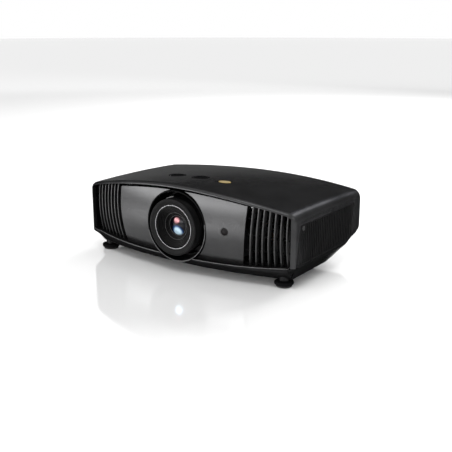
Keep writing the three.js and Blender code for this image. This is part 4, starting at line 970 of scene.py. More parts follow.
@dataclass
class UpperCase:
    """Upper case half: brim, top, side walls, back and the openings in them.

    Attributes:
        form: shared surfaces of the case.
        body: CAD body that it rides on.
        dial_places: places of the two shift dials.
        dial_back: how far the dials are ahead of the middle.
        dish_radius: radius of the dish round a dial.
        dish_depth: depth of the dish.
        stem_hole: radius of the hole for a dial's stem.
        vent_front_foot: front of the side vents at their foot, ahead of the middle.
        vent_front_top: front of the side vents at their top, ahead of the middle.
        vent_rear_top: rear of the right vent at its top.
        vent_top: height of the vents' upper edge.
        vent_reach: how far a vent is cut in beyond the wall.
        key_vent_rear: rear of the left vent, next to the keys.
        bay_half: half width of the connector bay.
        bay_low: foot of the bay.
        bay_high: top of the bay.
        bay_plate: face of the plate in the bay.
        bay_wall: wall round the bay.
    """

    form: CaseForm
    body: str = "case"
    dial_places: Pair = (-0.069, -0.0109)
    dial_back: float = 0.0645
    dish_radius: float = 0.0185
    dish_depth: float = 0.0042
    stem_hole: float = 0.0043
    vent_front_foot: float = 0.1278
    vent_front_top: float = 0.1134
    vent_rear_top: float = 0.1007
    vent_top: float = 0.1195
    vent_reach: float = 0.0017
    key_vent_rear: float = 0.022
    bay_half: float = 0.165
    bay_low: float = 0.066
    bay_high: float = 0.122
    bay_plate: float = 0.142
    bay_wall: float = 0.0025

    def section(self, x: float) -> list[Point]:
        """Outer outline of the case, seen from the side.

        Args:
            x: place across.

        Returns:
            The points of the outline.
        """
        f = self.form
        front, rear, under = f.front(x), f.rear(x), f.brim(x)
        brim = [(front + f.brim_bevel * a, under + f.brim_height * b) for a, b in BRIM_SHARES]
        start, end = front + f.brim_bevel, rear - f.rear_round
        top = [(y, f.top(x, y)) for y in spread(start, end, 25)[1:]]
        edge = f.top(x, end) - f.rear_round
        back = arc((end, edge), f.rear_round, QUARTER, 0.0, 8)[1:]
        heel = arc((rear - f.heel_round, f.heel + f.heel_round), f.heel_round, 0.0, -QUARTER, 8)
        outline = [*brim, *top, *back, *heel, *f.rising_split(), (front, f.split)]
        return [(x, y, z) for y, z in outline]

    def hollow(self, x: float) -> list[Point]:
        """Outline of the hollow inside, with its foot open.

        Args:
            x: place across.

        Returns:
            The points of the outline.
        """
        f = self.form
        front, rear = f.front(x) + f.post_depth, f.rear(x) - f.wall
        end = rear - f.rear_round
        top = [(y, f.top(x, y, f.wall)) for y in spread(front, end, 14)]
        edge = f.top(x, end, f.wall) - f.rear_round
        inner = f.heel_round - f.wall
        heel = arc((rear - inner, f.heel + f.wall + inner), inner, 0.0, -QUARTER, 5)
        low = f.split - RUN_PAST
        outline = top + [(rear, edge)] + heel + [(rear - inner, low), (front, low)]
        return [(x, y, z) for y, z in outline]

    def window(self, x: float) -> list[Point]:
        """Outline of the front opening.

        Args:
            x: place across.

        Returns:
            The points of the outline.
        """
        f = self.form
        near, far = f.front(x) - RUN_PAST, f.front(x) + f.post_depth + f.wall
        low, high = f.split - RUN_PAST, f.brim(x)
        return [(x, near, low), (x, far, low), (x, far, high), (x, near, high)]

    def vent(self, side: Side) -> Piece:
        """Cutter for one side vent.

        Args:
            side: side of the case.

        Returns:
            The cutter.
        """
        f = self.form
        rear_top, foot = self.key_vent_rear, []
        if side is Side.RIGHT:
            rear_top, foot = self.vent_rear_top, f.rising_split()[1:]
        low = f.split - RUN_PAST
        last = foot[-1][0] if foot else rear_top
        top = [(-self.vent_front_top, self.vent_top), (rear_top, self.vent_top)]
        outline = [(-self.vent_front_foot, low), (-self.vent_front_foot, f.split), *top, *foot, (last, low)]
        near = f.half_width - f.wall - self.vent_reach
        span = sorted((side.value * near, side.value * (f.half_width + RUN_PAST)))
        return MeshKit.prism(f"vent_{side.name}", Axis.X, outline, *span)

    def bay(self) -> Piece:
        """Cutter for the connector bay's opening.

        Returns:
            The cutter.
        """
        inset, round_off = self.bay_wall, self.bay_wall * 2
        left, right = -self.bay_half + inset, self.bay_half - inset
        low, high = self.bay_low + inset, self.bay_high - inset
        corners = [(right, high, 0.0), (left, high, QUARTER), (left, low, 2 * QUARTER), (right, low, 3 * QUARTER)]
        outline: list[Pair] = []
        for u, v, turn in corners:
            centre = (u - math.copysign(round_off, u), v - round_off if v == high else v + round_off)
            outline += arc(centre, round_off, turn, turn + QUARTER, 7)
        behind = self.form.half_depth + self.form.rear_bow + RUN_PAST
        return MeshKit.prism("bay", Axis.Y, outline, self.bay_plate, behind)

    def dial_floor(self, x: float) -> float:
        """Height of the dish's floor."""
        return self.form.top(x, -self.dial_back) - self.dish_depth

    def build(self) -> Piece:
        """Builds the upper case.

        Returns:
            The piece, which stands for its CAD node.
        """
        f = self.form
        shell = MeshKit.loft("upper_case_shell", [self.section(x) for x in f.stations()])
        posts = f.half_width - f.post_width
        tools = [
            MeshKit.loft("hollow", [self.hollow(x) for x in f.stations(f.wall)]),
            MeshKit.loft("window", [self.window(x) for x in spread(-posts, posts, 65)]),
            self.vent(Side.LEFT), self.vent(Side.RIGHT), self.bay(),
        ]
        MeshKit.carve(shell, Carve.CUT, tools)
        dishes = [self.dish_wall(x) for x in self.dial_places] + [self.inlay_floor()]
        MeshKit.carve(shell, Carve.JOIN, dishes)
        holes = [cutter for x in self.dial_places for cutter in self.dish(x)] + [self.inlay_pocket(), *self.key_holes()]
        MeshKit.carve(shell, Carve.CUT, holes)
        MeshKit.soften(shell, 28.0)
        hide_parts("upper_case")
        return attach(shell, self.body)

    def dish_wall(self, x: float) -> Piece:
        """Boss below the top that a dish is sunk in.

        Args:
            x: place of the dish across.

        Returns:
            The boss.
        """
        wall, floor = self.form.wall, self.dial_floor(x)
        span = (floor - wall, floor + wall)
        return MeshKit.rod("dish_wall", Axis.Z, self.dish_radius + wall, span, (x, -self.dial_back), 64)

    def dish(self, x: float) -> list[Piece]:
        """Cutters for a dish with a rounded floor.

        Args:
            x: place of the dish across.

        Returns:
            The bowl's cutter and the one for the dial's stem.
        """
        floor, radius, foot = self.dial_floor(x), self.dish_radius, self.form.wall / 2
        centre = (x, -self.dial_back)
        curve = arc((radius - foot, floor + foot), foot, -QUARTER, 0.0, 5)
        bowl = [(0.0, floor), *curve, (radius, floor + RUN_PAST), (0.0, floor + RUN_PAST)]
        stem = MeshKit.rod("stem_hole", Axis.Z, self.stem_hole, (floor - RUN_PAST, floor + foot), centre, 32)
        return [MeshKit.turned("dish", Axis.Z, bowl, centre, 72), stem]

    def inlay_floor(self) -> Piece:
        """Thickening below the round inlay."""
        inlay, wall = TopInlay(self.form), self.form.wall
        return inlay.disc("inlay_floor", inlay.radius + wall, -inlay.depth - wall, -wall / 2)

    def inlay_pocket(self) -> Piece:
        """Cutter for the pocket that holds the round inlay."""
        inlay = TopInlay(self.form)
        return inlay.disc("inlay_pocket", inlay.radius + self.form.clearance, -inlay.depth, RUN_PAST)

    def key_holes(self) -> list[Piece]:
        """Cutters for the keys in the left side wall.

        Returns:
            The cutters.
        """
        f, pad = self.form, Keypad()
        span = (-f.half_width - RUN_PAST, -f.half_width + f.wall + f.clearance * 3)
        places = [(pad.back, pad.height, pad.ring_radius), *((y, z, pad.small_radius) for y, z in pad.corners())]
        return [MeshKit.rod("key_hole", Axis.X, radius + f.clearance, span, (y, z), 64) for y, z, radius in places]


@dataclass
class TopInlay:
    """Plain round disc let into the top.

    Attributes:
        form: shared surfaces of the case.
        radius: radius of the disc with its dark border.
        bright: radius of the bright disc.
        depth: depth of its pocket.
        underside: its underside, from the top surface.
        groove: outer and inner radius of its fine groove, as shares of the bright disc.
        groove_depth: depth of that groove.
        core_reach: how far the cutter's core for the groove stands out of the top.
        edge: round of the bright disc's edge.
        step: smallest step between its parts.
        place: place of its middle.
    """

    form: CaseForm
    radius: float = 0.0157
    bright: float = 0.0121
    depth: float = 0.0012
    underside: float = -0.0009
    groove: Pair = (0.86, 0.82)
    groove_depth: float = 0.0005
    core_reach: float = 0.04
    edge: float = 0.0003
    step: float = 0.0001
    place: Pair = DISC_PLACE

    def disc(self, name: str, radius: float, low: float, high: float, edge: float = 0.0) -> Piece:
        """Makes a disc that lies square to the top at its own place.

        Args:
            name: name of the piece.
            radius: its radius.
            low: underside, from the top surface.
            high: upper side, from the top surface.
            edge: round of its upper edge.

        Returns:
            The new object.
        """
        corner = arc((radius - edge, high - edge), edge, 0.0, QUARTER, 5)[1:] if edge else [(radius, high)]
        profile = [(0.0, low), (radius, low), (radius, high - edge), *corner, (0.0, high)]
        made = MeshKit.turned(name, Axis.Z, profile, (0.0, 0.0), 80)
        x, y = self.place
        tilt = Vector((0, 0, 1)).rotation_difference(self.form.normal(x, y)).to_matrix().to_4x4()
        made.data.transform(Matrix.Translation(Vector((x, y, self.form.top(x, y)))) @ tilt)
        return made

    def build_border(self) -> Piece:
        """Builds the dark border round the bright disc.

        Returns:
            The new piece.
        """
        border = self.disc("top_inlay_border", self.radius, self.underside, -self.step, 2 * self.step)
        MeshKit.carve(border, Carve.CUT, [self.disc("inlay_hole", self.bright + self.step, -RUN_PAST, RUN_PAST)])
        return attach(MeshKit.soften(border, 30.0), "case")

    def build(self) -> Piece:
        """Builds the bright disc, with a fine groove near its rim.

        Returns:
            The piece, which stands for its CAD node.
        """
        outer, inner = (self.bright * share for share in self.groove)
        disc = self.disc("top_inlay_disc", self.bright, self.underside, self.step, self.edge)
        groove = self.disc("inlay_groove_outer", outer, -self.step, RUN_PAST)
        MeshKit.carve(groove, Carve.CUT, [self.disc("inlay_groove_core", inner, -self.groove_depth, self.core_reach)])
        MeshKit.carve(disc, Carve.CUT, [groove])
        MeshKit.soften(disc)
        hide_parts("top_inlay")
        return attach(disc, "case")


@dataclass
class LowerCase:
    """Lower case half: chin, bowed ledge, slanted side feet and the underside.

    Attributes:
        form: shared surfaces of the case.
        stand: height of the flat underside.
        lip_middle: height of the ledge in the middle.
        lip_power: how late the ledge rises to its ends.
        lip_setback: how far the ledge is behind the brim.
        lip_depth: depth of the ledge.
        lip_fade: width over which the setback ends at the corner posts.
        chin_setback: how far the chin's foot is behind the brim.
        chamfer_width: width of the slanted sides.
        chamfer_top: height of the underside at a side wall.
        sweep_rise: rise of the underside to the rear, in the middle.
        side_sweep_rise: the same at a side wall.
        floor: thickness of the floor.
        side_lift: extra thickness at a side wall.
        surround_radius: outer radius of the lens surround.
        surround_back: its rear face, ahead of the middle.
        lens_height: height of the lens axis.
        boss_radius: radius of a foot's collar.
        boss_foot: its lower end.
        boss_top: its upper end.
        boss_edge: chamfer at its lower end.
        stem: radius of a foot's stem.
        feet: places of the feet.
    """

    form: CaseForm
    stand: float = 0.0145
    lip_middle: float = 0.0322
    lip_power: float = 3.0
    lip_setback: float = 0.009
    lip_depth: float = 0.014
    lip_fade: float = 0.012
    chin_setback: float = 0.026
    chamfer_width: float = 0.016
    chamfer_top: float = 0.040
    sweep_rise: float = 0.0375
    side_sweep_rise: float = 0.0144
    floor: float = 0.0026
    side_lift: float = 0.0022
    surround_radius: float = 0.0701
    surround_back: float = 0.128
    lens_height: float = LENS_HEIGHT
    boss_radius: float = 0.0095
    boss_foot: float = 0.011
    boss_top: float = 0.034
    boss_edge: float = 0.001
    stem: float = 0.004
    feet: tuple[Pair, ...] = ((-0.213, -0.113), (0.213, -0.113), (-0.165, 0.058), (0.165, 0.058))

    def chamfer(self, x: float) -> float:
        """0 on the flat underside and 1 at a side wall."""
        return clamp((abs(x) - (self.form.half_width - self.chamfer_width)) / self.chamfer_width)

    def lip(self, x: float) -> float:
        """Height of the ledge at x."""
        return mix(self.lip_middle, self.form.split - self.form.wall / 2, self.form.share(x) ** self.lip_power)

    def lip_front(self, x: float) -> float:
        """Front of the ledge at x."""
        left = clamp((self.form.half_width - self.form.post_width - abs(x)) / self.lip_fade)
        return self.form.front(x) + self.lip_setback * left * left * (3 - 2 * left)

    def underside(self, x: float, lift: float) -> list[Pair]:
        """Underside from the chin to the rear overhang.

        Args:
            x: place across.
            lift: how far above the outer surface.

        Returns:
            The points of the line.
        """
        f, part = self.form, self.chamfer(x)
        base = mix(self.stand, self.chamfer_top, part)
        rise = mix(self.sweep_rise, self.side_sweep_rise, part)
        sweep = [
            (f.sweep_start + f.sweep_length * mix(a, c, part), base + rise * mix(b, d, part) + lift)
            for (a, b), (c, d) in zip(SWEEP_SHARES, SIDE_SWEEP_SHARES)
        ]
        return [(f.front(x) + self.chin_setback, base + lift), *sweep]

    def section(self, x: float) -> list[Point]:
        """Outer outline, seen from the side.

        Args:
            x: place across.

        Returns:
            The points of the outline.
        """
        f, flat = self.form, self.underside(x, 0.0)
        front, foot = (self.lip_front(x), self.lip(x)), flat[0]
        chin = [(mix(front[0], foot[0], a), mix(front[1], foot[1], b)) for a, b in CHIN_SHARES]
        rear = f.rear(x) - f.heel_round - f.clearance
        end = mix(self.stand + self.sweep_rise, self.chamfer_top + self.side_sweep_rise, self.chamfer(x)) + f.wall * 0.8
        back = [(rear, min(end, f.heel - f.wall)), (rear, f.heel - f.clearance)]
        ledge = self.lip_front(x) + self.lip_depth
        closing = [(ledge, f.split - f.clearance), (ledge, self.lip(x))]
        outline = [*chin, *flat, *back, *f.rising_split(f.clearance), *closing]
        return [(x, y, z) for y, z in outline]

    def hollow(self, x: float) -> list[Point]:
        """Outline of the hollow, with its top open.

        Args:
            x: place across.

        Returns:
            The points of the outline.
        """
        f = self.form
        lift = self.floor + self.side_lift * self.chamfer(x)
        front = self.lip_front(x) + self.lip_depth
        floor = self.underside(x, lift)[1:]
        rear, high = f.rear(x) - f.heel_round + RUN_PAST, f.heel + RUN_PAST
        last = min(floor[-1][1], f.heel - 2 * f.clearance)
        back = [(floor[-1][0], last), (rear, f.heel - f.clearance), (rear, high), (front, high)]
        return [(x, y, z) for y, z in [(front, floor[0][1]), *floor[:-1], *back]]

    def stations(self, inset: float) -> list[float]:
        """Places across, closer together on the slanted sides.

        Args:
            inset: how far the outer ones stay within the side walls.

        Returns:
            The places, from left to right.
        """
        flat, end = self.form.half_width - self.chamfer_width, self.form.half_width - inset
        slope = spread(flat, end, 12)[1:]
        return [-x for x in reversed(slope)] + spread(-flat, flat, 57) + slope

    def build(self) -> Piece:
        """Builds the lower case.

        Returns:
            The piece, which stands for its CAD node.
        """
        f = self.form
        tray = MeshKit.loft("lower_case_tray", [self.section(x) for x in self.stations(0.0)])
        MeshKit.carve(tray, Carve.CUT, [MeshKit.loft("tray_hollow", [self.hollow(x) for x in self.stations(f.wall)])])
        MeshKit.carve(tray, Carve.JOIN, [self.boss(place) for place in self.feet])
        span = (-RUN_PAST, self.boss_top + RUN_PAST)
        holes = [MeshKit.rod("foot_hole", Axis.Z, self.stem + f.clearance, span, place, 32) for place in self.feet]
        MeshKit.carve(tray, Carve.CUT, [self.bore("surround_cut", f.clearance), *holes])
        MeshKit.soften(tray)
        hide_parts("lower_case")
        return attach(tray, "case")

    def bore(self, name: str, gap: float) -> Piece:
        """Cutter for the round opening that the lens surround stands in.

        Args:
            name: name of the cutter.
            gap: how far it goes in behind the surround.

        Returns:
            The cutter.
        """
        f = self.form
        span = (-(f.half_depth + f.front_bow + RUN_PAST), -self.surround_back + gap)
        return MeshKit.rod(name, Axis.Y, self.surround_radius + f.clearance, span, (0.0, self.lens_height), 128)

    def boss(self, place: Pair) -> Piece:
        """Round collar that a foot screws into.

        Args:
            place: place of the foot.

        Returns:
            The collar.
        """
        edge, radius = self.boss_edge, self.boss_radius
        foot = [(0.0, self.boss_foot), (radius - edge, self.boss_foot), (radius, self.boss_foot + edge)]
        return MeshKit.turned("boss", Axis.Z, [*foot, (radius, self.boss_top), (0.0, self.boss_top)], place, 48)


@dataclass
class FrontFace:
    """Graphite front panel, infrared window and the two ribbed grilles.

    Attributes:
        form: shared surfaces of the case.
        lower: lower case, whose ledge carries the panel.
        panel_half: half width of the panel at its top.
        edge_radius: radius of the bow of its upright edges.
        crest_height: height where the face stands out most.
        crest_setback: how far the face is behind the brim there.
        curve: radius of the face, seen from the side.
        thickness: thickness of the panel.
        brim_gap: height of the dark gap below the brim.
        rib_width: width of a grille rib.
        rib_depth: depth of a rib.
        rib_count: count of the ribs of a grille.
        rail: height of a grille's upper and lower rail.
        rib_nose: front of a rib, as (share of its width, depth).
        stiffener: height of a thin bar behind the ribs.
        stiffener_depth: depth of such a bar.
        stiffener_shares: their places, as shares of the height.
        window_radius: radius of the infrared window.
        window_across: place of the window across.
        window_height: height of the window.
        window_sink: how far its edge is behind the panel's face.
        window_depth: depth of the window.
        window_bulge: how far its middle stands out.
        bead_radius: radius of the bright wire that stands in for the highlight along the ledge.
        bead_gap: gap between that wire's ends and the corner posts.
        curl_length: length of the curl at its ends.
        curl_radius: radius of that curl.
    """

    form: CaseForm
    lower: LowerCase
    panel_half: float = 0.151
    edge_radius: float = 0.757
    crest_height: float = 0.100
    crest_setback: float = 0.0092
    curve: float = 0.208
    thickness: float = 0.003
    brim_gap: float = 0.0092
    rib_width: float = 0.0027
    rib_depth: float = 0.009
    rib_count: int = 7
    rail: float = 0.005
    rib_nose: tuple[Pair, ...] = ((0.0, 0.0007), (0.12, 0.0002), (0.3, 0.0), (0.7, 0.0), (0.88, 0.0002), (1.0, 0.0007))
    stiffener: float = 0.0014
    stiffener_depth: float = 0.0032
    stiffener_shares: tuple[float, ...] = (0.25, 0.5, 0.75)
    window_radius: float = 0.0073
    window_across: float = 0.1086
    window_height: float = 0.0956
    window_sink: float = 0.0004
    window_depth: float = 0.006
    window_bulge: float = 0.0007
    bead_radius: float = 0.0006
    bead_gap: float = 0.001
    curl_length: float = 0.008
    curl_radius: float = 0.006

    def setback(self, z: float) -> float:
        """How far the face is behind the brim edge at a height."""
        return self.crest_setback + (z - self.crest_height) ** 2 / (2 * self.curve)

    def half(self, z: float) -> float:
        """Half width of the panel at a height."""
        below = self.form.corner_brim + self.form.brim_height + self.setback(0.0) / 2 - z
        return self.panel_half - max(0.0, below) ** 2 / (2 * self.edge_radius)

    def face(self, x: float, z: float) -> float:
        """Place of the face at x and z."""
        post = self.form.half_width - self.form.post_width
        return self.form.front(min(abs(x), post)) + self.setback(z)

    def foot(self, x: float) -> float:
        """Foot of the panel at x."""
        return self.lower.lip(x) + self.form.clearance

    def head(self, x: float) -> float:
        """Top of the panel at x."""
        return self.form.brim(x) - self.brim_gap

    def sheet(self, name: str, near: Curve, far: Curve, foot: Curve, head: Curve, profile: Sequence[Pair],
              up: int) -> Piece:
        """Makes a curved sheet that follows the front.

        Args:
            name: name of the piece.
            near: place of one upright edge at a height.
            far: place of the other edge.
            foot: height of its foot at a place across.
            head: height of its top.
            profile: closed outline of (share of the width, depth).
            up: steps up.

        Returns:
            The new object.
        """
        loops: list[list[Point]] = []
        for j in range(up + 1):
            loop: list[Point] = []
            for s, depth in profile:
                guess = mix(near(foot(0.0)), far(foot(0.0)), s)
                z = mix(foot(guess), head(guess), j / up)
                x = mix(near(z), far(z), s)
                loop.append((x, self.face(x, z) + depth, z))
            loops.append(loop)
        return MeshKit.loft(name, loops)

    def build_panel(self) -> Piece:
        """Builds the panel with its round lens opening and the window's hole.

        Returns:
            The piece, which stands for its CAD node.
        """
        outline = self.strip(0.0, self.thickness, 96)
        panel = self.sheet("front_panel_skin", lambda z: -self.half(z), self.half, self.foot, self.head, outline, 40)
        hole = self.plug("window_hole", self.window_radius + self.form.clearance, -RUN_PAST / 2, RUN_PAST / 2)
        MeshKit.carve(panel, Carve.CUT, [self.lower.bore("panel_bore", 0.0), hole])
        MeshKit.soften(panel)
        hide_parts("front_panel")
        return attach(panel, "case")

    def plug(self, name: str, radius: float, near: float, far: float, bulge: float = 0.0) -> Piece:
        """Round body that stands square to the front at the window's place.

        Args:
            name: name of the piece.
            radius: its radius.
            near: its front, from the panel's face.
            far: its back.
            bulge: how far its face stands out in the middle.

        Returns:
            The new object.
        """
        dome = [(radius * s, near - bulge * (1 - s * s)) for s in spread(0.0, 1.0, 7)]
        made = MeshKit.turned(name, Axis.Y, [*dome, (radius, far), (0.0, far)], (0.0, 0.0), 64)
        x, z = self.window_across, self.window_height
        turn = math.atan2(2 * self.form.front_bow * x, self.form.half_width**2)
        place = Matrix.Translation(Vector((x, self.face(x, z), z)))
        made.data.transform(place @ Matrix.Rotation(turn, 4, "Z"))
        return made

    def build_window(self) -> Piece:
        """Builds the infrared window, a low lens.

        Returns:
            The piece, which stands for its CAD node.
        """
        front = self.form.clearance + self.window_sink
        window = self.plug("ir_window_lens", self.window_radius, front, self.window_depth, bulge=self.window_bulge)
        MeshKit.soften(window)
        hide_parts("ir_window")
        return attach(window, "case")

    def build_grille(self, side: Side) -> list[Piece]:
        """Builds one grille: curved ribs with rounded fronts, rails and stiffeners.

        Args:
            side: which grille.

        Returns:
            The ribs, which stand for the CAD node, and the bars behind them.
        """
        gap, sign, bed = self.form.clearance * 2, side.value, self.form.clearance * 2
        post = self.form.half_width - self.form.post_width

        def near(z: float) -> float:
            """Edge of the grille next to the panel, at a height."""
            return sign * (self.half(z) + gap)

        def far(_z: float) -> float:
            """Edge of the grille next to the corner post."""
            return sign * (post - gap)

        def head(x: float) -> float:
            """Top of the grille."""
            return self.form.brim(x) - self.form.clearance

        depth = self.rib_depth
        bar, slim = self.strip(depth / 2, depth - bed), self.strip(depth - self.stiffener_depth, depth - bed)
        bars = [self.sheet("rail_low", near, far, self.foot, lambda x: self.foot(x) + self.rail, bar, 1),
                self.sheet("rail_high", near, far, lambda x: head(x) - self.rail, head, bar, 1)]
        for share in self.stiffener_shares:
            low = lambda x, s=share: mix(self.foot(x), head(x), s)
            bars.append(self.sheet("stiffener", near, far, low, lambda x, low=low: low(x) + self.stiffener, slim, 1))
        ribs = []
        half = self.rib_width / 2
        outline = [*self.rib_nose, (1.0, depth), (0.0, depth)]
        for share in ((i + 1) / (self.rib_count + 1) for i in range(self.rib_count)):
            left = lambda z, s=share: mix(near(z), far(z), s) - half
            right = lambda z, s=share: mix(near(z), far(z), s) + half
            low, high = (lambda x: self.foot(x) + bed), (lambda x: head(x) - bed)
            ribs.append(self.sheet("rib", left, right, low, high, outline, 24))
        name = f"front_grille_{side.name.lower()}"
        grille = MeshKit.soften(MeshKit.joined(f"{name}_ribs", ribs), 35.0)
        frame_bars = MeshKit.soften(MeshKit.joined(f"{name}_bars", bars), 35.0)
        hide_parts(name)
        return [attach(grille, "case"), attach(frame_bars, "case")]

    def build_ledge_highlight(self) -> Piece:
        """Builds a painted highlight: a fine bright wire along the front edge of the ledge, curled up at both ends and
        left out at the lens.

        Returns:
            The new piece.
        """
        low, radius = self.lower, self.bead_radius
        end = self.form.half_width - self.form.post_width - self.bead_gap
        start = math.sqrt(low.surround_radius**2 - (low.lens_height - low.lip_middle) ** 2) + 2 * radius
        parts: list[Piece] = []
        for side in Side:
            loops: list[list[Point]] = []
            for x in spread(side.value * start, side.value * end, 81):
                curl = max(0.0, abs(x) - end + self.curl_length)
                centre = (low.lip_front(x), low.lip(x) + curl * curl / (2 * self.curl_radius))
                loops.append([(x, y, z) for y, z in circle(centre, radius)])
            parts.append(MeshKit.loft("highlight_bead", loops))
        highlight_bead = MeshKit.soften(MeshKit.joined("ledge_highlight_bead", parts), 50.0)
        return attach(highlight_bead, "case")

    def strip(self, near: float, far: float, steps: int = 16) -> list[Pair]:
        """Closed outline of a sheet that runs across.

        Args:
            near: depth of its front.
            far: depth of its back.
            steps: steps across.

        Returns:
            The outline as (share of the width, depth).
        """
        shares = [i / steps for i in range(steps + 1)]
        return [(s, near) for s in shares] + [(s, far) for s in reversed(shares)]


@dataclass
class SidePlate:
    """Slotted plate in a side vent: the left grille or the lamp cover on the right.

    Attributes:
        upper: upper case, whose vents the plates fill.
        gap: gap between a plate and the vent's edge.
        margin: plain border round the slots.
        slot: width of a slot.
        rib: width between two slots.
        near: inner face, from the middle of the case.
        thickness: thickness of a plate.
        screw_place: place of the cover's screw.
        recess: radius of the screw's recess.
        hole: radius of the screw's hole.
    """

    upper: UpperCase
    gap: float = 0.0004
    margin: float = 0.0024
    slot: float = 0.0042
    rib: float = 0.0028
    near: float = 0.241
    thickness: float = 0.003
    screw_place: Pair = (-0.0994, 0.1115)
    recess: float = 0.0054
    hole: float = 0.0027

    def outline(self, side: Side) -> list[Pair]:
        """Outline of a plate, seen from the side.

        Args:
            side: side of the case.

        Returns:
            The points of the outline.
        """
        u, f, gap = self.upper, self.upper.form, self.gap
        top = u.vent_top - gap
        front = [(-u.vent_front_foot + gap, f.split), (-u.vent_front_top + gap, top)]
        if side is Side.LEFT:
            return [*front, (u.key_vent_rear - gap, top), (u.key_vent_rear - gap, f.split)]
        return [*front, (u.vent_rear_top - gap, top), *((y - gap, z) for y, z in f.rising_split()[1:])]

    def reach(self, outline: list[Pair], y: float) -> Pair:
        """Lowest and highest point of an outline at a place.

        Args:
            outline: points of the outline.
            y: place back and forth.

        Returns:
            The two heights.
        """
        sides = zip(outline, outline[1:] + outline[:1])
        hits = [mix(a[1], b[1], (y - a[0]) / (b[0] - a[0])) for a, b in sides if (a[0] - y) * (b[0] - y) < 0]
        return min(hits), max(hits)

    def build(self, side: Side, node: str) -> Piece:
        """Builds a plate.

        Args:
            side: side of the case.
            node: CAD node that it stands for.

        Returns:
            The new piece.
        """
        outline, sign = self.outline(side), side.value
        low, high = sorted((sign * self.near, sign * (self.near + self.thickness)))
        plate = MeshKit.prism(f"{node}_plate", Axis.X, outline, low, high)
        start, end = outline[0][0] + 2 * self.margin, outline[2][0] - 2 * self.margin
        count = int((end - start) / (self.slot + self.rib))
        slots = []
        for i in range(count):
            y = start + i * (end - start) / count
            ends = [self.reach(outline, y - self.margin), self.reach(outline, y + self.slot + self.margin)]
            foot, head = max(e[0] for e in ends) + self.margin, min(e[1] for e in ends) - self.margin
            if head - foot > self.margin:
                slots.append(MeshKit.box("slot", (low - RUN_PAST, y, foot), (high + RUN_PAST, y + self.slot, head)))
        MeshKit.carve(plate, Carve.CUT, [MeshKit.joined("slots", slots)])
        if side is Side.RIGHT:
            MeshKit.carve(plate, Carve.JOIN, [self.pin(self.recess + self.margin, low - self.upper.form.wall, high)])
            holes = [self.pin(self.recess, low, high + RUN_PAST), self.pin(self.hole, low - RUN_PAST, high)]
            MeshKit.carve(plate, Carve.CUT, holes)
        MeshKit.soften(plate)
        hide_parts(node)
        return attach(plate, "case")

    def pin(self, radius: float, low: float, high: float) -> Piece:
        """Round body at the screw's place."""
        return MeshKit.rod("pin", Axis.X, radius, (low, high), self.screw_place, 48)


@dataclass
class IntakeFilter:
    """Dust screen between the left side grille and the intake fan: a frame with a fine web.

    Attributes:
        near: its outer face.
        thickness: its thickness.
        front: its front edge.
        rear: its rear edge.
        low: its foot.
        high: its top.
        web: width of the web's threads.
        pitch: distance of the threads.
    """

    near: float = -0.2405
    thickness: float = 0.0008
    front: float = -0.1235
    rear: float = 0.018
    low: float = 0.046
    high: float = 0.1165
    web: float = 0.0026
    pitch: float = 0.0032

    def build(self) -> Piece:
        """Builds the screen.

        Returns:
            The new piece.
        """
        far = self.near + self.thickness
        starts = [self.front + i * self.pitch for i in range(int((self.rear - self.front) / self.pitch))]
        threads = [self.strip((y, y + self.web), (self.low, self.high), far) for y in starts]
        levels = spread(self.low, self.high - self.web, 12)
        bars = [self.strip((self.front, self.rear), (z, z + self.web), far + self.thickness / 2) for z in levels]
        screen = MeshKit.joined("intake_filter_screen", [*threads, *bars])
        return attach(screen, "case")

    def strip(self, along: Pair, up: Pair, far: float) -> Piece:
        """Makes a thin bar of the screen, from its outer face inwards."""
        return MeshKit.box("strip", (self.near, along[0], up[0]), (far, along[1], up[1]))


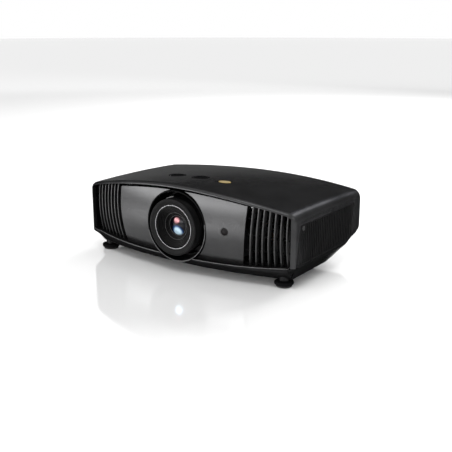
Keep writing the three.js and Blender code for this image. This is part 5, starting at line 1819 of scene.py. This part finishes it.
@dataclass
class Lens:
    """Everything round the optical axis that shows from the front.

    Fronts and backs are distances ahead of the middle of the case.

    Attributes:
        height: height of the axis.
        segments: steps round the axis.
        surround_outer: outer radius of the surround.
        surround_mouth: radius of its funnel at the front.
        surround_throat: radius of its funnel at the back.
        surround_front: its front.
        surround_back: its back.
        surround_rim: depth of its rounded rim.
        funnel_foot: how far the funnel ends ahead of the back.
        bead_place: radius and place of the middle of the bright wire that stands in for the highlight on the surround's
            rim.
        bead_radius: radius of that wire.
        bead_turns: where it starts and ends, in half turns.
        ring_outer: outer radius of the focus ring.
        ring_bore: its inner radius.
        ring_front: its front.
        ring_back: its back.
        ring_edge: round of its front edge.
        ring_step: how far its face lies back at the bore.
        ring_face: radius and setback of the corners of its face.
        groove_count: count of its grip lines.
        groove_depth: depth of a grip line.
        groove_margin: plain part ahead of the lines and behind them.
        trim_inner: inner radius of the bright trim ring.
        trim_outer: its outer radius.
        trim_front: its front.
        trim_depth: its depth.
        cell_front: front of the focusing cell.
        cell_depth: depth of the cell.
        cell_radius: its outer radius.
        cell_bore: its inner radius behind the glass.
        cell_edge: chamfer of its front edge.
        cone_mouth: radius of the cone at the front.
        cone_throat: radius of the cone at the glass.
        cone_end: how far the cone ends ahead of the cell's back.
        cone_steps: count of the cone's steps.
        glass_radius: radius of the front element.
        glass_bulge: how far its middle stands out.
        glass_room: how far the room for it starts ahead of the cell's back.
        seat: depth of the edge of the front element, and of its seat.
        gap: gap round the front element.
        retainers: radius and place of the two fine rings.
        retainer_radius: radius of their section.
        group_radius: radius of the zoom group.
        group_front: its front.
        group_length: its length.
        group_bulge: how far its glass stands out.
        group_glass: radius of that glass, as a share of the group's.
        zoom_outer: outer radius of the zoom ring.
        zoom_bore: its inner radius.
        zoom_front: its front.
        zoom_back: its back.
        zoom_edge: chamfer of its front edge.
        tab_reach: radius of the tab's outer face.
        tab_foot: how far the tab starts below the ring's surface, and ahead of its back.
        tab_inset: how far the tab is behind the ring's front.
        tab_turn: turn of the tab away from the top, in radians.
        tab_half: half width of the tab, in radians.
    """

    height: float = LENS_HEIGHT
    segments: int = 160
    surround_outer: float = 0.0701
    surround_mouth: float = 0.0666
    surround_throat: float = 0.0605
    surround_front: float = 0.1604
    surround_back: float = 0.128
    surround_rim: float = 0.0022
    funnel_foot: float = 0.003
    bead_place: Pair = (0.0688, -0.1601)
    bead_radius: float = 0.0007
    bead_turns: Pair = (1.08, 2.06)
    ring_outer: float = 0.0554
    ring_bore: float = 0.0432
    ring_front: float = 0.1712
    ring_back: float = 0.1524
    ring_edge: float = 0.0022
    ring_step: float = 0.0016
    ring_face: tuple[Pair, ...] = ((0.0505, 0.0001), (0.0500, 0.0006), (0.0470, 0.0011))
    groove_count: int = 9
    groove_depth: float = 0.00035
    groove_margin: float = 0.002
    trim_inner: float = 0.0417
    trim_outer: float = 0.0428
    trim_front: float = 0.1692
    trim_depth: float = 0.0036
    cell_front: float = 0.1682
    cell_depth: float = 0.026
    cell_radius: float = 0.0402
    cell_bore: float = 0.022
    cell_edge: float = 0.0004
    cone_mouth: float = 0.0386
    cone_throat: float = 0.0185
    cone_end: float = 0.0108
    cone_steps: int = 8
    glass_radius: float = 0.0236
    glass_bulge: float = 0.0075
    glass_room: float = 0.010
    seat: float = 0.003
    gap: float = 0.0003
    retainers: tuple[Pair, ...] = ((0.0194, -0.1540), (0.0262, -0.1592))
    retainer_radius: float = 0.0005
    group_radius: float = 0.0335
    group_front: float = 0.128
    group_length: float = 0.016
    group_bulge: float = 0.006
    group_glass: float = 0.8
    zoom_outer: float = 0.053
    zoom_bore: float = 0.046
    zoom_front: float = 0.1521
    zoom_back: float = 0.133
    zoom_edge: float = 0.0012
    tab_reach: float = 0.057
    tab_foot: float = 0.0028
    tab_inset: float = 0.0006
    tab_turn: float = 0.42
    tab_half: float = 0.21

    def turned(self, name: str, node: str, body: str, profile: Sequence[Pair],
               degrees: float = 30.0) -> Piece:
        """Makes one turned piece of the lens, which stands for its CAD node.

        Args:
            name: name of the piece.
            node: CAD node that it stands for.
            body: CAD body that it rides on.
            profile: closed outline of (radius, distance along Y).
            degrees: angle from which an edge counts as sharp.

        Returns:
            The new piece.
        """
        made = MeshKit.turned(name, Axis.Y, profile, (0.0, self.height), self.segments)
        MeshKit.soften(made, degrees)
        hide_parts(node)
        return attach(made, body)

    def build_surround(self) -> Piece:
        """Builds the gloss surround with its rounded rim and deep funnel.

        Returns:
            The piece, which stands for its CAD node.
        """
        outer, mouth, throat, rim = self.surround_outer, self.surround_mouth, self.surround_throat, self.surround_rim
        front, back = self.surround_front, self.surround_back
        middle, half, foot = (outer + mouth) / 2, (outer - mouth) / 2, -back - self.funnel_foot
        lip = [(middle + half * math.cos(a), -front + rim - rim * math.sin(a)) for a in spread(0.0, HALF_TURN, 12)]
        funnel = [(mix(mouth, throat + rim, s), mix(-front + rim, foot, s)) for s in spread(0.0, 1.0, 9)[1:]]
        profile = [(outer, -back), *lip, *funnel, (throat, foot), (throat, -back)]
        return self.turned("lens_surround_ring", "lens_surround", "case", profile)

    def build_rim_highlight(self) -> Piece:
        """Builds a painted highlight: a fine bright wire along the lower half of the surround's rim.

        Returns:
            The new piece.
        """
        wire = circle(self.bead_place, self.bead_radius)
        ways = spread(self.bead_turns[0] * HALF_TURN, self.bead_turns[1] * HALF_TURN, 61)
        loops = [[(r * math.cos(way), y, self.height + r * math.sin(way)) for r, y in wire] for way in ways]
        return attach(MeshKit.soften(MeshKit.loft("surround_rim_highlight_bead", loops), 60.0), "case")

    def build_focus_ring(self) -> Piece:
        """Builds the focus ring: soft front edge, shallow face and fine grip lines.

        Returns:
            The piece, which stands for its CAD node.
        """
        outer, bore, front, back = self.ring_outer, self.ring_bore, self.ring_front, self.ring_back
        edge, step, groove, margin = self.ring_edge, self.ring_step, self.groove_depth, self.groove_margin
        side: list[Pair] = [(outer, -back)]
        for i in range(self.groove_count):
            y = mix(-back - margin, -front + edge + margin, (i + 0.5) / self.groove_count)
            side += [(outer, y + groove), (outer - groove, y), (outer, y - groove)]
        rounding = arc((outer - edge, -front + edge), edge, 0.0, -QUARTER, 8)
        face = [*self.ring_face, (bore + step, step), (bore, step)]
        profile = [(bore, -back), *side, *rounding, *((radius, -front + depth) for radius, depth in face)]
        return self.turned("focus_ring_grip", "focus_ring", "focus_ring_body", profile, 24.0)

    def build_trim(self) -> Piece:
        """Builds the bright ring inside the focus ring.

        Returns:
            The piece, which stands for its CAD node.
        """
        front, inner, outer, depth = -self.trim_front, self.trim_inner, self.trim_outer, self.trim_depth
        middle, half = (inner + outer) / 2, (outer - inner) / 2
        rise = half / 2
        crown = [(middle + half * math.cos(a), front + rise - rise * math.sin(a)) for a in spread(0.0, HALF_TURN, 9)]
        profile = [(inner, front + depth), (outer, front + depth), *crown]
        return self.turned("focus_trim_bright", "focus_trim_ring", "focus_ring_body", profile)

    def build_cell(self) -> Piece:
        """Builds the focusing cell, a cone stepped down to the glass.

        Returns:
            The piece, which stands for its CAD node.
        """
        front, gap, edge, count = -self.cell_front, self.gap, self.cell_edge, self.cone_steps
        mouth, throat, radius, bore = self.cone_mouth, self.cone_throat, self.cell_radius, self.cell_bore
        rear = front + self.cell_depth
        foot, seat, wall = rear - self.cone_end, rear - self.seat, self.glass_radius + gap
        steps: list[Pair] = []
        for i in range(count):
            a, b = i / count, (i + 1) / count
            wide, narrow = mix(mouth, throat, a), mix(mouth, throat, b)
            near, far = mix(front, foot, a), mix(front, foot, b)
            steps += [(wide, near), (mix(wide, narrow, 0.18), near + (far - near) * 0.9), (mix(wide, narrow, 0.3), far)]
        lip = [(radius, rear), (radius, front + edge), (radius - edge, front)]
        room = rear - self.glass_room + gap
        seatings = [(throat, foot + gap), (wall, room), (wall, seat), (bore, seat), (bore, rear)]
        return self.turned("focus_cell_cone", "focus_cell", "focus_cell_body", [*lip, *steps, *seatings], 24.0)

    def build_retainers(self) -> Piece:
        """Builds the two fine rings that hold the front glass, on the face of the cone.

        Returns:
            The new piece.
        """
        wires = [circle(place, self.retainer_radius) for place in self.retainers]
        rings = [MeshKit.turned("ring", Axis.Y, wire, (0.0, self.height), self.segments) for wire in wires]
        made = MeshKit.soften(MeshKit.joined("glass_retainer_rings", rings), 60.0)
        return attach(made, "focus_cell_body")

    def dome(self, radius: float, front: float, bulge: float, back: float) -> list[Pair]:
        """Outline of a lens element with a domed front.

        Args:
            radius: its radius.
            front: front of its edge.
            bulge: how far its middle stands out.
            back: its flat back.

        Returns:
            The closed profile.
        """
        face = [(radius * s, front - bulge * (1 - s * s)) for s in spread(0.0, 1.0, 25)]
        return [*face, (radius, back), (0.0, back)]

    def build_front_glass(self) -> Piece:
        """Builds the front element.

        Returns:
            The piece, which stands for its CAD node.
        """
        rear = -self.cell_front + self.cell_depth - self.seat - self.gap
        profile = self.dome(self.glass_radius, rear - self.seat, self.glass_bulge, rear)
        return self.turned("front_lens_glass", "front_lens", "focus_cell_body", profile, 40.0)

    def build_inner_glass(self) -> Piece:
        """Builds the moving group behind the front element.

        Returns:
            The piece, which stands for its CAD node.
        """
        front, radius, back = -self.group_front, self.group_radius, -self.group_front + self.group_length
        face = self.dome(radius * self.group_glass, front, self.group_bulge, front)[:-2]
        profile = [*face, (radius, front), (radius, back), (0.0, back)]
        return self.turned("zoom_group_glass", "zoom_group", "zoom_group_body", profile, 40.0)

    def build_zoom_ring(self) -> Piece:
        """Builds the zoom ring with its finger tab.

        Returns:
            The piece, which stands for its CAD node.
        """
        radius, bore, front, back = self.zoom_outer, self.zoom_bore, self.zoom_front, self.zoom_back
        edge, middle, half, centre = self.zoom_edge, QUARTER + self.tab_turn, self.tab_half, (0.0, self.height)
        corner = (radius - edge * 0.3, -front + edge * 0.3)
        rim = [(radius, -front + edge), corner, (radius - edge, -front)]
        profile = [(bore, -back), (radius, -back), *rim, (bore, -front)]
        ring = MeshKit.turned("zoom_ring_tab", Axis.Y, profile, centre, self.segments)
        outline = arc(centre, self.tab_reach, middle - half, middle + half, 17)
        outline += arc(centre, radius - self.tab_foot, middle + half * 1.2, middle - half * 1.2, 17)
        tab = MeshKit.prism("tab", Axis.Y, outline, -front + self.tab_inset, -back - self.tab_foot)
        MeshKit.carve(ring, Carve.JOIN, [tab])
        MeshKit.soften(ring, 30.0, 0.0003)
        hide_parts("zoom_ring")
        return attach(ring, "zoom_ring_body")


@dataclass
class TopDials:
    """The two lens shift dials in their dishes.

    Attributes:
        case: upper case, whose dishes they sit in.
        radius: radius of a dial.
        rise: how far a dial stands above its dish's rim.
        stem: radius of its stem.
        reach: length of its stem.
        flutes: count of its flutes.
        flute_depth: depth of a flute, as a share of the radius.
    """

    case: UpperCase
    radius: float = 0.0135
    rise: float = 0.0008
    stem: float = 0.004
    reach: float = 0.024
    flutes: int = 36
    flute_depth: float = 0.022

    def build(self, name: str, body: str, x: float) -> Piece:
        """Builds one dial with a fluted edge.

        Args:
            name: CAD node that it stands for.
            body: CAD body that it rides on.
            x: place across.

        Returns:
            The new piece.
        """
        floor = self.case.dial_floor(x) + self.case.form.clearance
        top = self.case.dial_floor(x) + self.case.dish_depth + self.rise
        edge, radius, end, centre = self.rise, self.radius, floor - self.reach, (x, -self.case.dial_back)
        stem = [(0.0, end), (self.stem, end), (self.stem, floor)]
        rim = [(radius - edge / 2, floor), (radius, floor + edge / 2), (radius, top - edge),
               (radius - edge * 0.35, top - edge * 0.3), (radius - edge, top)]
        hollow = [(radius * 0.80, top), (radius * 0.74, top - edge * 0.8), (radius * 0.3, top - edge * 1.1)]
        profile = [*stem, *rim, *hollow, (0.0, top - edge * 1.1)]
        dial = MeshKit.turned(f"{name}_cap", Axis.Z, profile, centre, self.flutes * 4)
        MeshKit.flute(dial, centre, radius, self.flutes, self.flute_depth)
        MeshKit.soften(dial, 40.0)
        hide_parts(name)
        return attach(dial, body)


@dataclass
class Feet:
    """The four screw feet: rubber pad, fluted wheel and stem.

    Attributes:
        pad_radius: radius of a pad.
        pad_height: height of a pad.
        radius: radius of a wheel.
        wheel_top: upper side of a wheel.
        stem: radius of a stem.
        reach: upper end of a stem.
        clearance: gap between pad and wheel.
        flutes: count of a wheel's flutes.
        flute_depth: depth of a flute, as a share of the radius.
        pad_edge: round of a pad's lower edge.
        wheel_edge: round of a wheel's edges.
        stem_edge: chamfer of a stem's end.
    """

    pad_radius: float = 0.015
    pad_height: float = 0.0037
    radius: float = 0.018
    wheel_top: float = 0.0103
    stem: float = 0.004
    reach: float = 0.040
    clearance: float = 0.0003
    flutes: int = 24
    flute_depth: float = 0.045
    pad_edge: float = 0.0012
    wheel_edge: float = 0.0014
    stem_edge: float = 0.0008

    def build_pad(self, place: str) -> Piece:
        """Builds the rubber pad, which stands on the table.

        Args:
            place: name of the foot's place.

        Returns:
            The piece, which stands for its CAD node.
        """
        edge, radius, height = self.pad_edge, self.pad_radius, self.pad_height
        profile = [(0.0, 0.0), *arc((radius - edge, edge), edge, -QUARTER, 0.0, 6), (radius, height), (0.0, height)]
        pad = MeshKit.turned(f"foot_pad_{place}_rubber", Axis.Z, profile, self.centre(place), 64)
        MeshKit.soften(pad)
        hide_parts(f"foot_pad_{place}")
        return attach(pad, f"foot_{place}")

    def build_wheel(self, place: str) -> Piece:
        """Builds the wheel that a hand turns, with its stem.

        Args:
            place: name of the foot's place.

        Returns:
            The piece, which stands for its CAD node.
        """
        low, top, edge, end_edge = self.pad_height + self.clearance, self.wheel_top, self.wheel_edge, self.stem_edge
        radius, stem, end, centre = self.radius, self.stem, self.reach, self.centre(place)
        crown = arc((radius - edge, top - edge), edge, 0.0, QUARTER, 6)
        wheel_side = [(0.0, low), (radius - edge, low), (radius, low + edge), *crown, (radius * 0.55, top)]
        stem_side = [(stem + 0.001, top + 0.0004), (stem, top + 0.0006), (stem, end - end_edge), (stem - end_edge, end)]
        profile = [*wheel_side, *stem_side, (0.0, end)]
        wheel = MeshKit.turned(f"foot_wheel_{place}_grip", Axis.Z, profile, centre, self.flutes * 6)
        MeshKit.flute(wheel, centre, radius, self.flutes, self.flute_depth, 3)
        MeshKit.soften(wheel, 35.0)
        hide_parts(f"foot_wheel_{place}")
        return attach(wheel, f"wheel_{place}")

    def centre(self, place: str) -> Pair:
        """Place of a foot, read from the CAD node."""
        low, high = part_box(f"foot_pad_{place}")
        return (low.x + high.x) / 2, (low.y + high.y) / 2


@dataclass
class Keypad:
    """The keys on the left side wall.

    Attributes:
        back: how far the pad's middle is behind the middle of the case.
        height: height of the pad's middle.
        ring_radius: outer radius of the ring of arrow keys.
        ring_bore: inner radius of that ring.
        ok_radius: radius of the key in its middle.
        small_radius: radius of the four small keys.
        across: distance of the small keys from the middle, back and forth.
        up: the same up and down.
        front: outer face of the keys.
        depth: their length.
        gap: gap between two arrow keys.
        edge: round of a round key's edge.
        dish: depth of the dish in its face.
        arrow_edge: round of an arrow key's edge.
    """

    back: float = 0.068
    height: float = 0.088
    ring_radius: float = 0.015
    ring_bore: float = 0.0066
    ok_radius: float = 0.0057
    small_radius: float = 0.0038
    across: float = 0.024
    up: float = 0.017
    front: float = -0.2462
    depth: float = 0.008
    gap: float = 0.00143
    edge: float = 0.0006
    dish: float = 0.0003
    arrow_edge: float = 0.00045

    def corners(self) -> list[Pair]:
        """Places of the four small keys: power, source, menu and back."""
        return [(self.back + y * self.across, self.height + z * self.up) for z in (1, -1) for y in (-1, 1)]

    def build_round(self, name: str, place: Pair, radius: float) -> Piece:
        """Builds a round key with a dished top.

        Args:
            name: key's name.
            place: its place on the wall.
            radius: its radius.

        Returns:
            The new piece.
        """
        edge, front, back = self.edge, self.front, self.front + self.depth
        round_off = arc((radius - edge, front + edge), edge, -QUARTER, 0.0, 6)
        face = [(0.0, front + self.dish), (radius * 0.6, front + self.dish / 3)]
        profile = [*face, *round_off, (radius, back), (0.0, back)]
        key = MeshKit.turned(f"key_{name}_cap", Axis.X, profile, place, 56)
        MeshKit.soften(key, 35.0)
        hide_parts(f"key_{name}")
        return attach(key, f"button_{name}")

    def build_arrow(self, name: str, turn: float) -> Piece:
        """Builds a quarter of the key ring.

        Args:
            name: key's name.
            turn: direction of its middle, in radians.

        Returns:
            The new piece.
        """
        centre, outer, inner = (self.back, self.height), self.ring_radius, self.ring_bore
        wide, narrow = (QUARTER / 2 - self.gap / 2 / radius for radius in (outer, inner))
        outline = arc(centre, outer, turn - wide, turn + wide, 15)
        outline += arc(centre, inner, turn + narrow, turn - narrow, 9)
        key = MeshKit.prism(f"key_{name}_cap", Axis.X, outline, self.front, self.front + self.depth)
        MeshKit.soften(key, 35.0, self.arrow_edge)
        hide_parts(f"key_{name}")
        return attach(key, f"button_{name}")


@dataclass
class Nodes:
    """CAD nodes that show as they are, with a better finish and softened edges.

    Attributes:
        finishes: the finishes of the projector.
        merge: distance within which two corners are one.
        sharp: angle from which an edge is rounded, in degrees.
    """

    finishes: FinishSet
    merge: float = 1e-5
    sharp: float = 35.0

    def dress(self, name: str, finish: Finish, edge: float = 0.0) -> Piece:
        """Gives a CAD node its finish.

        Args:
            name: name of the node.
            finish: its finish.
            edge: width of the rounding on its sharp edges.

        Returns:
            The node's object.
        """
        node = frame["nodes"][name]
        finish.on(node)
        if edge:
            weld = node.modifiers.new("weld", "WELD")
            weld.merge_threshold = self.merge
            bevel = node.modifiers.new("edge", "BEVEL")
            bevel.width, bevel.segments, bevel.limit_method = edge, 2, "ANGLE"
            bevel.angle_limit = math.radians(self.sharp)
        return node

    def build(self) -> list[Piece]:
        """Dresses every CAD node that stays.

        Returns:
            The nodes' objects.
        """
        f = self.finishes
        plan: list[tuple[Finish, float, tuple[str, ...]]] = [
            (f.case, 0.0005, ("rear_panel",)),
            (f.screw, 0.0002, ("lamp_cover_screw",)),
            (f.steel, 0.0002, ("video_socket_1", "video_socket_2", "usb_socket", "network_socket", "serial_socket")),
            (f.gloss, 0.0004, ("mains_inlet", "audio_jack", "trigger_jack")),
            (f.inner_case, 0.0, ("lens_barrel", "shift_plate_vertical", "shift_plate_horizontal")),
            (f.board, 0.0, ("keypad_board", "main_board")),
            (f.engine, 0.0008, ("optical_engine",)),
            (f.metal, 0.0004, ("lamp_module", "power_supply", "chip_heat_sink")),
            (f.filter_glass, 0.0, ("colour_wheel",)),
            (f.inner_case, 0.0004, ("intake_fan_frame", "intake_fan", "exhaust_fan_frame", "exhaust_fan")),
        ]
        return [self.dress(name, finish, edge) for finish, edge, names in plan for name in names]


@dataclass(frozen=True)
class Lamp:
    """One soft light.

    Attributes:
        name: its name.
        place: where it stands.
        aim: point that it faces.
        size: its width and height.
        power: its power in watts.
    """

    name: str
    place: Point
    aim: Point
    size: Pair
    power: float


@dataclass
class Studio:
    """Floor, lights, world and camera.

    Attributes:
        eye: place of the camera.
        target: point in the middle of the picture.
        lens: focal length for a sensor of that width, in millimetres.
        sensor: width of the sensor, in millimetres.
        reach: radius of the floor.
        rim: count of the floor's corners.
        wall_height: height of the wall round it.
        low_sky: brightness of the sky at the horizon.
        high_sky: brightness of the sky above.
        floor_grey: brightness of the floor's paint.
        floor_shine: share of the floor's reflection.
        floor_roughness: roughness of that reflection.
        sun_power: power of the light from above, in watts per square metre.
        sun_angle: how soft it is, in degrees.
        sun_way: its direction.
        lamps: the soft lights.
    """

    eye: Point = (0.89329, -1.28373, 0.48497)
    target: Point = (0.00572, 0.0, 0.05597)
    lens: float = 62.12
    sensor: float = 36.0
    reach: float = 14.0
    rim: int = 96
    wall_height: float = 1.0
    low_sky: float = 0.15
    high_sky: float = 0.8
    floor_grey: float = 0.9
    floor_shine: float = 0.33
    floor_roughness: float = 0.07
    sun_power: float = 0.3
    sun_angle: float = 75.0
    sun_way: Point = (0.25, -0.1, -1.0)
    lamps: tuple[Lamp, ...] = (
        Lamp("overhead", (0.2, -0.9, 1.9), (0.0, -0.15, 0.1), (1.2, 0.5), 13.0),
        Lamp("rear_rim", (0.2, 2.6, 1.66), (0.2, 0.0, 0.15), (1.9, 0.8), 125.0),
        Lamp("front_left", (-1.25, -2.17, 0.5), (0.0, -0.15, 0.12), (2.8, 0.5), 40.0),
        Lamp("right_side", (2.2, 0.2, 1.3), (0.2, 0.0, 0.1), (0.5, 1.0), 9.0),
    )

    def aimed(self, data: bpy.types.ID, place: Point, way: Vector) -> Piece:
        """Puts a camera or a light in the scene.

        Args:
            data: the camera or light.
            place: where it stands.
            way: direction that it faces.

        Returns:
            Its object.
        """
        made = put(data.name, data)
        made.location = place
        made.rotation_mode = "QUATERNION"
        made.rotation_quaternion = way.to_track_quat("-Z", "Y")
        return made

    def build_camera(self) -> None:
        """Makes the camera at the photograph's angle."""
        data = bpy.data.cameras.new("camera")
        data.lens, data.sensor_width = self.lens, self.sensor
        bpy.context.scene.camera = self.aimed(data, self.eye, Vector(self.target) - Vector(self.eye))

    def build_floor(self) -> None:
        """Makes the plain pale floor, with a faint reflection, and the white wall far round it."""
        count = self.rim
        turns = spread(0.0, 2 * HALF_TURN, count + 1)[:-1]
        ring = [(self.reach * math.cos(a), self.reach * math.sin(a), 0.0) for a in turns]
        floor = MeshKit.piece("floor", ring, [list(range(count))])
        floor.data.materials.append(self.floor_paint())
        high = [(x, y, self.wall_height) for x, y, _ in ring]
        faces = [(i, (i + 1) % count, count + (i + 1) % count, count + i) for i in range(count)]
        wall = MeshKit.piece("backdrop", [*ring, *high], faces)
        wall.data.materials.append(self.wall_paint())

    def bare(self, name: str) -> tuple[bpy.types.Material, bpy.types.NodeTree]:
        """Makes a material without a shader.

        Args:
            name: its name.

        Returns:
            The material and its node tree.
        """
        made = bpy.data.materials.new(name)
        made.use_nodes = True
        made.node_tree.nodes.remove(made.node_tree.nodes["Principled BSDF"])
        return made, made.node_tree

    def floor_paint(self) -> bpy.types.Material:
        """Makes pale floor paint under a thin clear layer.

        Returns:
            The material.
        """
        made, tree = self.bare("floor_pale")
        kinds = ("ShaderNodeBsdfDiffuse", "ShaderNodeBsdfGlossy", "ShaderNodeMixShader")
        diffuse, shine, blend = (tree.nodes.new(kind) for kind in kinds)
        diffuse.inputs["Color"].default_value = (self.floor_grey, self.floor_grey, self.floor_grey, 1.0)
        shine.inputs["Color"].default_value = (1.0, 1.0, 1.0, 1.0)
        shine.inputs["Roughness"].default_value = self.floor_roughness
        blend.inputs["Fac"].default_value = self.floor_shine
        tree.links.new(diffuse.outputs[0], blend.inputs[1])
        tree.links.new(shine.outputs[0], blend.inputs[2])
        tree.links.new(blend.outputs[0], tree.nodes["Material Output"].inputs["Surface"])
        return made

    def wall_paint(self) -> bpy.types.Material:
        """Makes the plain white of the far wall.

        Returns:
            The material.
        """
        made, tree = self.bare("backdrop_white")
        light = tree.nodes.new("ShaderNodeEmission")
        light.inputs["Color"].default_value = (1.0, 1.0, 1.0, 1.0)
        light.inputs["Strength"].default_value = 1.0
        tree.links.new(light.outputs[0], tree.nodes["Material Output"].inputs["Surface"])
        return made

    def build_lamp(self, lamp: Lamp) -> None:
        """Makes one soft light.

        Args:
            lamp: what it is like.
        """
        data = bpy.data.lights.new(lamp.name, "AREA")
        data.shape, data.energy = "RECTANGLE", lamp.power
        data.size, data.size_y = lamp.size
        self.aimed(data, lamp.place, Vector(lamp.aim) - Vector(lamp.place))

    def build_light(self) -> None:
        """Makes the world and the soft lights."""
        world = bpy.data.worlds.new("world")
        world.use_nodes = True
        tree = world.node_tree
        kinds = ("ShaderNodeTexCoord", "ShaderNodeSeparateXYZ", "ShaderNodeValToRGB")
        source, parts, ramp = (tree.nodes.new(kind) for kind in kinds)
        elements = ramp.color_ramp.elements
        elements.new(0.5)
        stops = ((0.05, self.low_sky), (0.3, self.high_sky), (1.0, self.high_sky))
        for element, (place, level) in zip(elements, stops):
            element.position, element.color = place, (level, level, level, 1.0)
        tree.links.new(source.outputs["Generated"], parts.inputs["Vector"])
        tree.links.new(parts.outputs["Z"], ramp.inputs["Fac"])
        tree.links.new(ramp.outputs["Color"], tree.nodes["Background"].inputs["Color"])
        bpy.context.scene.world = world
        bpy.context.scene.view_settings.view_transform = "Standard"
        sun = bpy.data.lights.new("soft_top", "SUN")
        sun.energy, sun.angle = self.sun_power, math.radians(self.sun_angle)
        self.aimed(sun, (0.0, 0.0, 0.0), Vector(self.sun_way))
        for lamp in self.lamps:
            self.build_lamp(lamp)


def dress(finish: Finish, pieces: Sequence[Piece]) -> None:
    """Gives several pieces one finish and reports them.

    Args:
        finish: the finish.
        pieces: the pieces.
    """
    for piece in pieces:
        finish.on(piece)
        log.info("%s: %d faces, %s", piece.name, len(piece.data.polygons), finish.name)


def main() -> None:
    """Builds the studio and every piece of the projector."""
    logging.basicConfig(level=logging.INFO, format="%(name)s %(message)s")
    studio = Studio()
    studio.build_camera()
    studio.build_floor()
    studio.build_light()
    finishes = FinishSet()
    form = CaseForm(half_width=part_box("upper_case")[1].x)
    upper, lower, lens, feet, keypad = UpperCase(form), LowerCase(form), Lens(), Feet(), Keypad()
    face = FrontFace(form, lower)
    dress(finishes.case, [upper.build()])
    # The lower case takes the darker copy of the case finish as painted shade.
    dress(finishes.tray, [lower.build()])
    inlay = TopInlay(form)
    dress(finishes.brass, [inlay.build()])
    dress(finishes.inner_case, [inlay.build_border()])
    dress(finishes.panel, [face.build_panel()])
    dress(finishes.window, [face.build_window()])
    grilles = [face.build_grille(side) for side in Side]
    dress(finishes.rib, [ribs for ribs, _ in grilles])
    # Thin bright wires that stand in for highlights on the ledge and on the surround's lower rim.
    dress(finishes.highlight_bead, [face.build_ledge_highlight(), lens.build_rim_highlight()])
    plates = SidePlate(upper)
    vents = [plates.build(Side.LEFT, "side_grille_left"), plates.build(Side.RIGHT, "lamp_cover")]
    dress(finishes.vent, vents)
    dress(finishes.inner_case, [*[bars for _, bars in grilles], IntakeFilter().build()])
    dress(finishes.gloss, [lens.build_surround()])
    dress(finishes.lens, [lens.build_focus_ring()])
    dress(finishes.zoom, [lens.build_zoom_ring(), lens.build_retainers()])
    dress(finishes.cone, [lens.build_cell()])
    dress(finishes.silver, [lens.build_trim()])
    dress(finishes.front_glass, [lens.build_front_glass()])
    dress(finishes.inner_glass, [lens.build_inner_glass()])
    dials = TopDials(upper)
    ways = (("shift_dial_vertical", "vertical_dial"), ("shift_dial_horizontal", "horizontal_dial"))
    dress(finishes.inner_case, [dials.build(node, body, x) for (node, body), x in zip(ways, upper.dial_places)])
    places = ("front_left", "front_right", "rear_left", "rear_right")
    dress(finishes.rubber, [feet.build_pad(place) for place in places])
    dress(finishes.inner_case, [feet.build_wheel(place) for place in places])
    arrows = [keypad.build_arrow(name, i * QUARTER) for i, name in enumerate(("rear", "up", "front", "down"))]
    names = ("power", "source", "menu", "back")
    small = [keypad.build_round(name, place, keypad.small_radius) for name, place in zip(names, keypad.corners())]
    middle = keypad.build_round("ok", (keypad.back, keypad.height), keypad.ok_radius)
    dress(finishes.inner_case, [*arrows, middle, *small])
    for node in Nodes(finishes).build():
        log.info("%s dressed", node.name)


if __name__ == "__main__":
    main()
